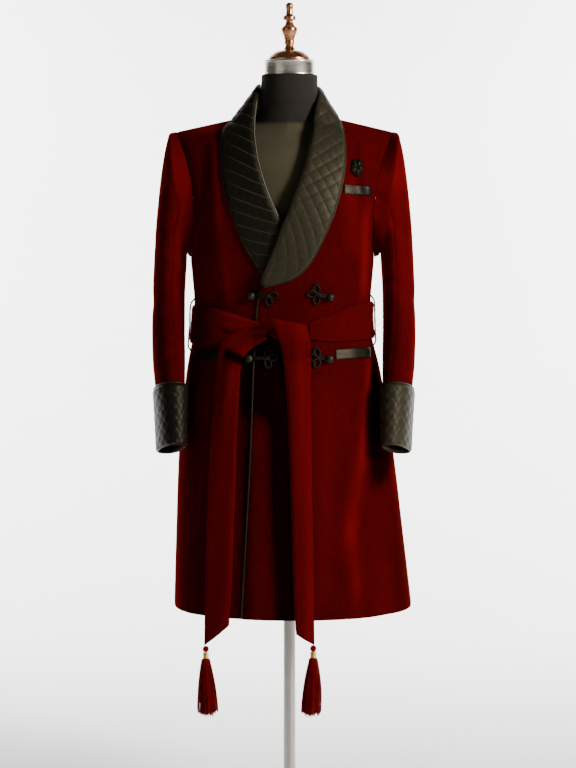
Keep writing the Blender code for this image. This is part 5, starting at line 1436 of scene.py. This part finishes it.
# The belt: a wide doubled strip of the same velvet round the waist, held by thread loops at the side seams.
# It is tied once in front; one end falls over the knot and the other comes out to its side and turns down.
BELT_CLOTH = 0.003
BELT_EASE = 0.0028
belt_places = [
    # turn from the front (90 is the wearer's left), top and bottom height
    (15, 1.0250, 0.9950),
    (24, 1.0380, 0.9930),
    (36, 1.0500, 0.9925),
    (50, 1.0600, 0.9930),
    (90, 1.0660, 0.9940),
    (180, 1.0620, 0.9880),
    (270, 1.0580, 0.9830),
    (312, 1.0570, 0.9860),
    (328, 1.0490, 0.9890),
    (340, 1.0380, 0.9900),
    (348, 1.0300, 0.9920),
]
BELT_ROWS = 30
BELT_COLUMNS = 380


def belt_edges(turn):
    """The heights of the belt's upper and lower edge at a turn round the waist."""
    return float(read_column(belt_places, 1, turn)), float(read_column(belt_places, 2, turn))


def belt_point(turn, z, ease):
    """A point round the waist, ease outside the coat."""
    number = float(curve_through([row[2] for row in body_sections], range(len(body_sections)), z))
    row = body_section(number)
    angle = math.radians(turn)
    sine, cosine = math.sin(angle), math.cos(angle)
    reach = abs(row.side_x(sine) - row.center) + ease
    depth = row.depth(-cosine) + ease
    if cosine > 0:
        depth += lap_depths[-1][OVER]
    x = row.center + reach * float(signed_power(sine, 2 / row.fullness))
    y = SPINE_Y - depth * float(signed_power(cosine, 2 / row.fullness))
    return (x, y, z)


belt_outer, belt_inner = [], []
for down in np.linspace(0, 1, BELT_ROWS):
    outer_line, inner_line = [], []
    for turn in np.linspace(belt_places[0][0], belt_places[-1][0], BELT_COLUMNS):
        top, bottom = belt_edges(turn)
        z = top + (bottom - top) * down
        near_knot = math.exp(-(min(turn, 360 - turn) / 42.0) ** 2)
        ripple = 0.0008 * (1 + math.sin(2 * math.pi * (0.9 * down + 0.35 * math.sin(math.radians(turn)))))
        pleat = 0.0011 * near_knot * math.sin(2 * math.pi * (3.2 * down + 0.3 * math.sin(turn * 0.11)))
        drag = 0.0007 * near_knot * math.sin(2 * math.pi * down * 2.3 + turn * 0.09)
        drag *= math.sin(turn * 0.033 + 1.0) ** 2
        inner_line.append(belt_point(turn, z, BELT_EASE))
        outer_line.append(belt_point(turn, z, BELT_EASE + BELT_CLOTH + ripple + pleat + drag))
    belt_outer.append(outer_line)
    belt_inner.append(inner_line)
belt_outer, belt_inner = np.array(belt_outer), np.array(belt_inner)
belt_normals = grid_normals(belt_outer)
belt_normals *= np.sign((belt_normals * (belt_outer - belt_outer.mean(axis=(0, 1)))).sum())
belt_outer = rounded(belt_outer, belt_normals, [(0, False), (0, True)], depth=0.0022, reach=0.0040)
belt_x, belt_z = belt_outer[:, :, 0], belt_outer[:, :, 2]
# Painted light and shade on the band: a painted highlight beside the knot on the wearer's right, painted
# shade on the side away from the light, and a painted shadow line under a roll of the band
belt_painted_light = 0.14 + 0.62 * np.exp(-(((belt_x + 0.108) / 0.040) ** 2))
belt_painted_light -= 0.40 * soft_step((-0.150 - belt_x) / 0.030)
pleat_shade = np.exp(-(((belt_z - 1.012 + (belt_x + 0.13) * 0.20) / 0.0045) ** 2))
pleat_shade *= soft_step((-0.052 - belt_x) / 0.02) * soft_step((belt_x + 0.142) / 0.012)
belt_map = painted_light_map(belt_painted_light - 0.9 * pleat_shade)
band_name, band_nodes = "velvet_belt_band", ["belt_waist"]
belt_band = shell(band_name, belt_outer, belt_inner, velvet, band_nodes, "velvet", cloth_map=belt_map)

KNOT = np.array([-0.0030, -0.1300, 1.0110])
KNOT_HALF = np.array([0.0330, 0.0145, 0.0165])
KNOT_SIDES = 72
KNOT_RINGS = 40
knot_points = []
for ring in range(KNOT_RINGS):
    tilt = math.pi * (ring + 0.5) / KNOT_RINGS
    for k in range(KNOT_SIDES):
        turn = 2 * math.pi * k / KNOT_SIDES
        fold = 1 - 0.05 + 0.05 * math.cos(3 * turn + 5 * math.cos(tilt)) * math.sin(tilt)
        wide = math.sin(tilt) ** 0.6 * fold
        offset = np.array([math.cos(tilt), wide * math.cos(turn), wide * math.sin(turn)])
        knot_points.append(KNOT + KNOT_HALF * offset)
knot_faces = capped_faces(KNOT_RINGS, KNOT_SIDES)
belt_knot = make_object("velvet_belt_knot", knot_points, knot_faces, velvet, sharp=80)
ride_and_stand_for(belt_knot, ["belt_knot"])

TAIL_ROWS = 250
TAIL_COLUMNS = 30
# The belt's ends: left x and z, right x and z, and y, which is empty where the end lies on the coat
tail_over_knot = [
    (-0.0360, 1.0350, 0.0330, 1.0210, -0.1380),
    (-0.0385, 1.0410, 0.0345, 1.0270, -0.1450),
    (-0.0340, 1.0290, 0.0370, 1.0150, -0.1510),
    (-0.0215, 0.9990, 0.0405, 0.9960, -0.1490),
    (-0.0150, 0.9750, 0.0415, 0.9720, -0.1410),
    (-0.0108, 0.9360, 0.0424, 0.9360, None),
    (-0.0050, 0.8700, 0.0430, 0.8700, None),
    (-0.0016, 0.7900, 0.0437, 0.7900, None),
    (0.0018, 0.7000, 0.0450, 0.7000, None),
    (0.0052, 0.6000, 0.0468, 0.6000, None),
    (0.0080, 0.5100, 0.0483, 0.5050, None),
    (0.0105, 0.4550, 0.0488, 0.4400, None),
    (0.0127, 0.4209, 0.0490, 0.3994, None),
]
tail_beside_knot = [
    (-0.0470, 1.0250, -0.0450, 0.9980, None),
    (-0.0860, 1.0180, -0.0660, 0.9850, None),
    (-0.1180, 1.0060, -0.0840, 0.9700, None),
    (-0.1370, 0.9890, -0.0930, 0.9560, None),
    (-0.1430, 0.9560, -0.0975, 0.9340, None),
    (-0.1500, 0.8850, -0.1010, 0.8750, None),
    (-0.1580, 0.8000, -0.1045, 0.7950, None),
    (-0.1620, 0.7100, -0.1070, 0.7050, None),
    (-0.1650, 0.6100, -0.1110, 0.6050, None),
    (-0.1680, 0.5000, -0.1145, 0.5000, None),
    (-0.1690, 0.4300, -0.1175, 0.4560, None),
    (-0.1695, 0.3880, -0.1194, 0.4327, None),
]


def belt_end(name, table, node, painted_light):
    """A hanging end of the belt: a doubled strip of velvet on the skirt, then free below the hem."""
    free = [row[4] for row in table if row[4] is not None]
    filled = [(*row[:4], row[4] if row[4] is not None else (free[-1] if free else 0.0)) for row in table]
    numbers = np.linspace(0, len(table) - 1, TAIL_ROWS)[:, None]
    part = np.linspace(0, 1, TAIL_COLUMNS)[None, :]
    rows = np.array([read_table(filled, float(number)) for number in numbers[:, 0]])
    left_x, left_z, right_x, right_z, held = (column[:, None] for column in rows.T)
    xs = left_x + (right_x - left_x) * part
    zs = left_z + (right_z - left_z) * part
    seat = np.array([[front_y(x, z) for x, z in zip(*line)] for line in zip(xs, zs)])
    seat -= 0.0105 * soft_step((zs - 0.930) / 0.045)
    resting = soft_step((numbers - (len(free) - 1)) / 0.5) if free else np.ones((TAIL_ROWS, 1))
    bow = 0.0022 * np.sin(math.pi * part) + 0.0010 * np.sin(3 * math.pi * part + numbers * 0.8)
    drag = 0.0014 * np.exp(-numbers / 3.0) * np.sin(2 * math.pi * part * 1.3 + numbers * 0.9)
    wave = 0.0010 * np.sin(numbers * 1.9 + part * 2.0) * soft_step((numbers - 4) / 3)
    y = (held - bow) * (1 - resting) + (seat - 0.0022 - bow) * resting
    smooth_y = evened(y, 30)
    y = np.minimum(smooth_y, np.where(resting > 0.99, seat - 0.0016, smooth_y))
    inner = np.stack([xs, y, zs], -1)
    outer = np.stack([xs, y - BELT_CLOTH - drag - wave * 0.6, zs], -1)
    forward = np.zeros_like(outer)
    forward[:, :, 1] = -1.0
    outer = rounded(outer, forward, [(0, True), (1, False), (1, True)], depth=0.0016, reach=0.0032)
    tail_painted_light = np.broadcast_to(painted_light(numbers, part), y.shape)
    made = shell(name, outer, inner, velvet, [node], "velvet", cloth_map=painted_light_map(tail_painted_light))


def over_knot_painted_light(_, part):
    """A painted highlight towards the right edge of the end that falls over the knot, and painted shade at
    its left edge, the same all the way down.
    """
    return 0.26 + 0.34 * np.exp(-(((part - 0.72) / 0.28) ** 2)) - 0.25 * soft_step((0.25 - part) / 0.25)


def beside_knot_painted_light(number, part):
    """Painted shadow where the end turns down out of its roll, and brighter below."""
    turn_down = np.exp(-(((number - 3.1 - 0.5 * (1 - part)) / 0.50) ** 2)) * soft_step((part - 0.10) / 0.30)
    return 0.60 - 1.60 * turn_down - 0.15 * soft_step((number - 8) / 3)


belt_end("velvet_belt_end_left", tail_over_knot, "belt_end_left", over_knot_painted_light)
belt_end("velvet_belt_end_right", tail_beside_knot, "belt_end_right", beside_knot_painted_light)

thread = Finish("loop_thread", {"Roughness": 0.8, "Specular IOR Level": 0.15})
thread_wear = thread.noise((900, 900, 300), detail=1.0)
thread_tone = thread.between(thread_wear, color(0.0015, 0.0003, 0.0003), color(0.006, 0.0006, 0.0005))
thread.paint("Base Color", thread_tone)
LOOP_RADIUS = 0.0017
for word, side, turn in (("left", 1, 78), ("right", -1, 282)):
    top, bottom = belt_edges(turn)
    stops = [
        belt_point(turn, top + 0.0160, 0.0014),
        belt_point(turn, top + 0.0050, 0.0095),
        belt_point(turn + side * 0.6, top - 0.0080, 0.0108),
        belt_point(turn + side * 1.0, (top + bottom) / 2, 0.0108),
        belt_point(turn + side * 0.6, bottom + 0.0080, 0.0108),
        belt_point(turn, bottom - 0.0050, 0.0095),
        belt_point(turn, bottom - 0.0160, 0.0014),
    ]
    along = np.linspace(0, 6, 60)
    path = np.stack([curve_through(range(7), axis, along) for axis in zip(*stops)], -1)
    node = f"belt_loop_{word}"
    cord(f"thread_{node}", path, LOOP_RADIUS, thread, [node], "velvet", twist=1800, depth=0.15)


# The tassels at the tips of the belt's ends: a ball wound with silk, a band of gilt thread, and a skirt of
# silk strands that spring from a bound head.
silk = Finish(
    "tassel_silk",
    {
        "Roughness": 0.48,
        "Specular IOR Level": 0.10,
        "Specular Tint": color(1.0, 0.30, 0.25),
        "Sheen Weight": 0.15,
        "Sheen Roughness": 0.3,
        "Sheen Tint": color(1.0, 0.05, 0.04),
    },
)
silk_streak = silk.noise((700, 700, 40), detail=2.0)
silk_red = silk.between(silk_streak, color(0.050, 0.0003, 0.0006), color(0.170, 0.0010, 0.0016))
silk.paint("Base Color", silk_red)
silk.relief(silk.noise((3000, 3000, 300), detail=1.0), 0.0002)
gilt = Finish("gilt_thread", {"Metallic": 1.0})
gilt_wear = gilt.noise((500, 500, 1500), detail=2.0)
gilt.paint("Base Color", gilt.between(gilt_wear, color(0.60, 0.38, 0.08), color(0.98, 0.74, 0.26)))
gilt.paint("Roughness", gilt_wear * 0.2 + 0.22)

TASSEL_OUT = 0.0032
TASSEL_BALL = 0.0063
BAND_RADIUS = 0.0060
BAND_HEIGHT = 0.0115
BAND_THREADS = 11
SILK_RIDGES = 16
BALL_RINGS = 25
TASSEL_SIDES = 48
HEAD_RINGS = 12
HEAD_HEIGHT = 0.0052
STRANDS = 240
STRAND_RADIUS = 0.00062
STRAND_START = 0.0030
STRAND_POINTS = 11
HEAD_SPREAD = 0.0082
SKIRT_SPREAD = 0.0198
GOLDEN_TURN = math.pi * (3 - math.sqrt(5))
tassels = [
    # name, x and z of the ball, x and z of the skirt's lower end
    ("right", -0.1662, 0.3821, -0.1625, 0.2540),
    ("left", 0.0465, 0.3937, 0.0420, 0.2660),
]


def wound_rings(x, y, levels):
    """A part wound with silk, from each level's height and reach, and its ridges' depth and slant."""
    points = []
    for z, level_reach, ridge, slant in levels:
        for turn in 2 * math.pi * np.arange(TASSEL_SIDES) / TASSEL_SIDES:
            reach = level_reach * (1 + ridge * math.cos(SILK_RIDGES * turn + slant))
            points.append((x + reach * math.cos(turn), y + reach * math.sin(turn), z))
    return points, capped_faces(len(levels), TASSEL_SIDES)


chance = np.random.default_rng(7)
for word, x, z, skirt_x, skirt_z in tassels:
    y = front_y(x, HEM) - TASSEL_OUT
    ball_levels = []
    for tilt in math.pi * (np.arange(BALL_RINGS) + 0.5) / BALL_RINGS:
        reach = TASSEL_BALL * 0.98 * math.sin(tilt) ** 0.9
        ball_levels.append((z + TASSEL_BALL * math.cos(tilt), reach, 0.035, 5 * math.cos(tilt)))
    made = make_object(f"silk_ball_{word}", *wound_rings(x, y, ball_levels), silk, sharp=80)
    ride_and_stand_for(made, [f"tassel_ball_{word}"])
    band_top = z - TASSEL_BALL - SEAM
    band = [(BAND_RADIUS * 0.80, band_top)]
    for share in np.linspace(0.02, 0.98, 78):
        ridge = 0.965 + 0.035 * math.cos(2 * math.pi * share * BAND_THREADS)
        band.append((BAND_RADIUS * ridge, band_top - BAND_HEIGHT * share))
    band.append((BAND_RADIUS * 0.80, band_top - BAND_HEIGHT))
    turned(f"gilt_band_{word}", band, gilt, [f"tassel_band_{word}"], sides=40, center=(x, y))
    head_top = band_top - BAND_HEIGHT - SEAM
    head_levels = []
    for share in np.linspace(0, 1, HEAD_RINGS):
        reach = 0.0055 + 0.0037 * math.sin(share * math.pi * 0.55)
        head_levels.append((head_top - HEAD_HEIGHT * share, reach, 0.03, 0.0))
    shapes = [wound_rings(x, y, head_levels)]
    for number in range(STRANDS):
        share = math.sqrt((number + 0.5) / STRANDS)
        turn = number * GOLDEN_TURN + chance.normal(0, 0.05)
        reach = SKIRT_SPREAD * share**1.15 * (1 + chance.normal(0, 0.05))
        drop = head_top - STRAND_START - skirt_z + chance.normal(0, 0.0028) - 0.004 * share**3
        bend = chance.normal(0, 0.0012, 2)
        t = np.linspace(0, 1, STRAND_POINTS)
        spread = HEAD_SPREAD * share + (reach - HEAD_SPREAD * share) * (1 - (1 - t) ** 1.7)
        curl = turn + 0.25 * t * math.sin(number)
        path = np.stack(
            [
                x + (skirt_x - x) * t + spread * np.cos(curl) + bend[0] * np.sin(math.pi * t),
                y + spread * np.sin(curl) + bend[1] * np.sin(math.pi * t),
                head_top - STRAND_START - drop * t,
            ],
            -1,
        )
        shapes.append(cord_shape(path, STRAND_RADIUS, sides=4))
    made = make_object(f"silk_tassel_{word}", *joined(shapes), silk)
    ride_and_stand_for(made, [f"tassel_{word}"])
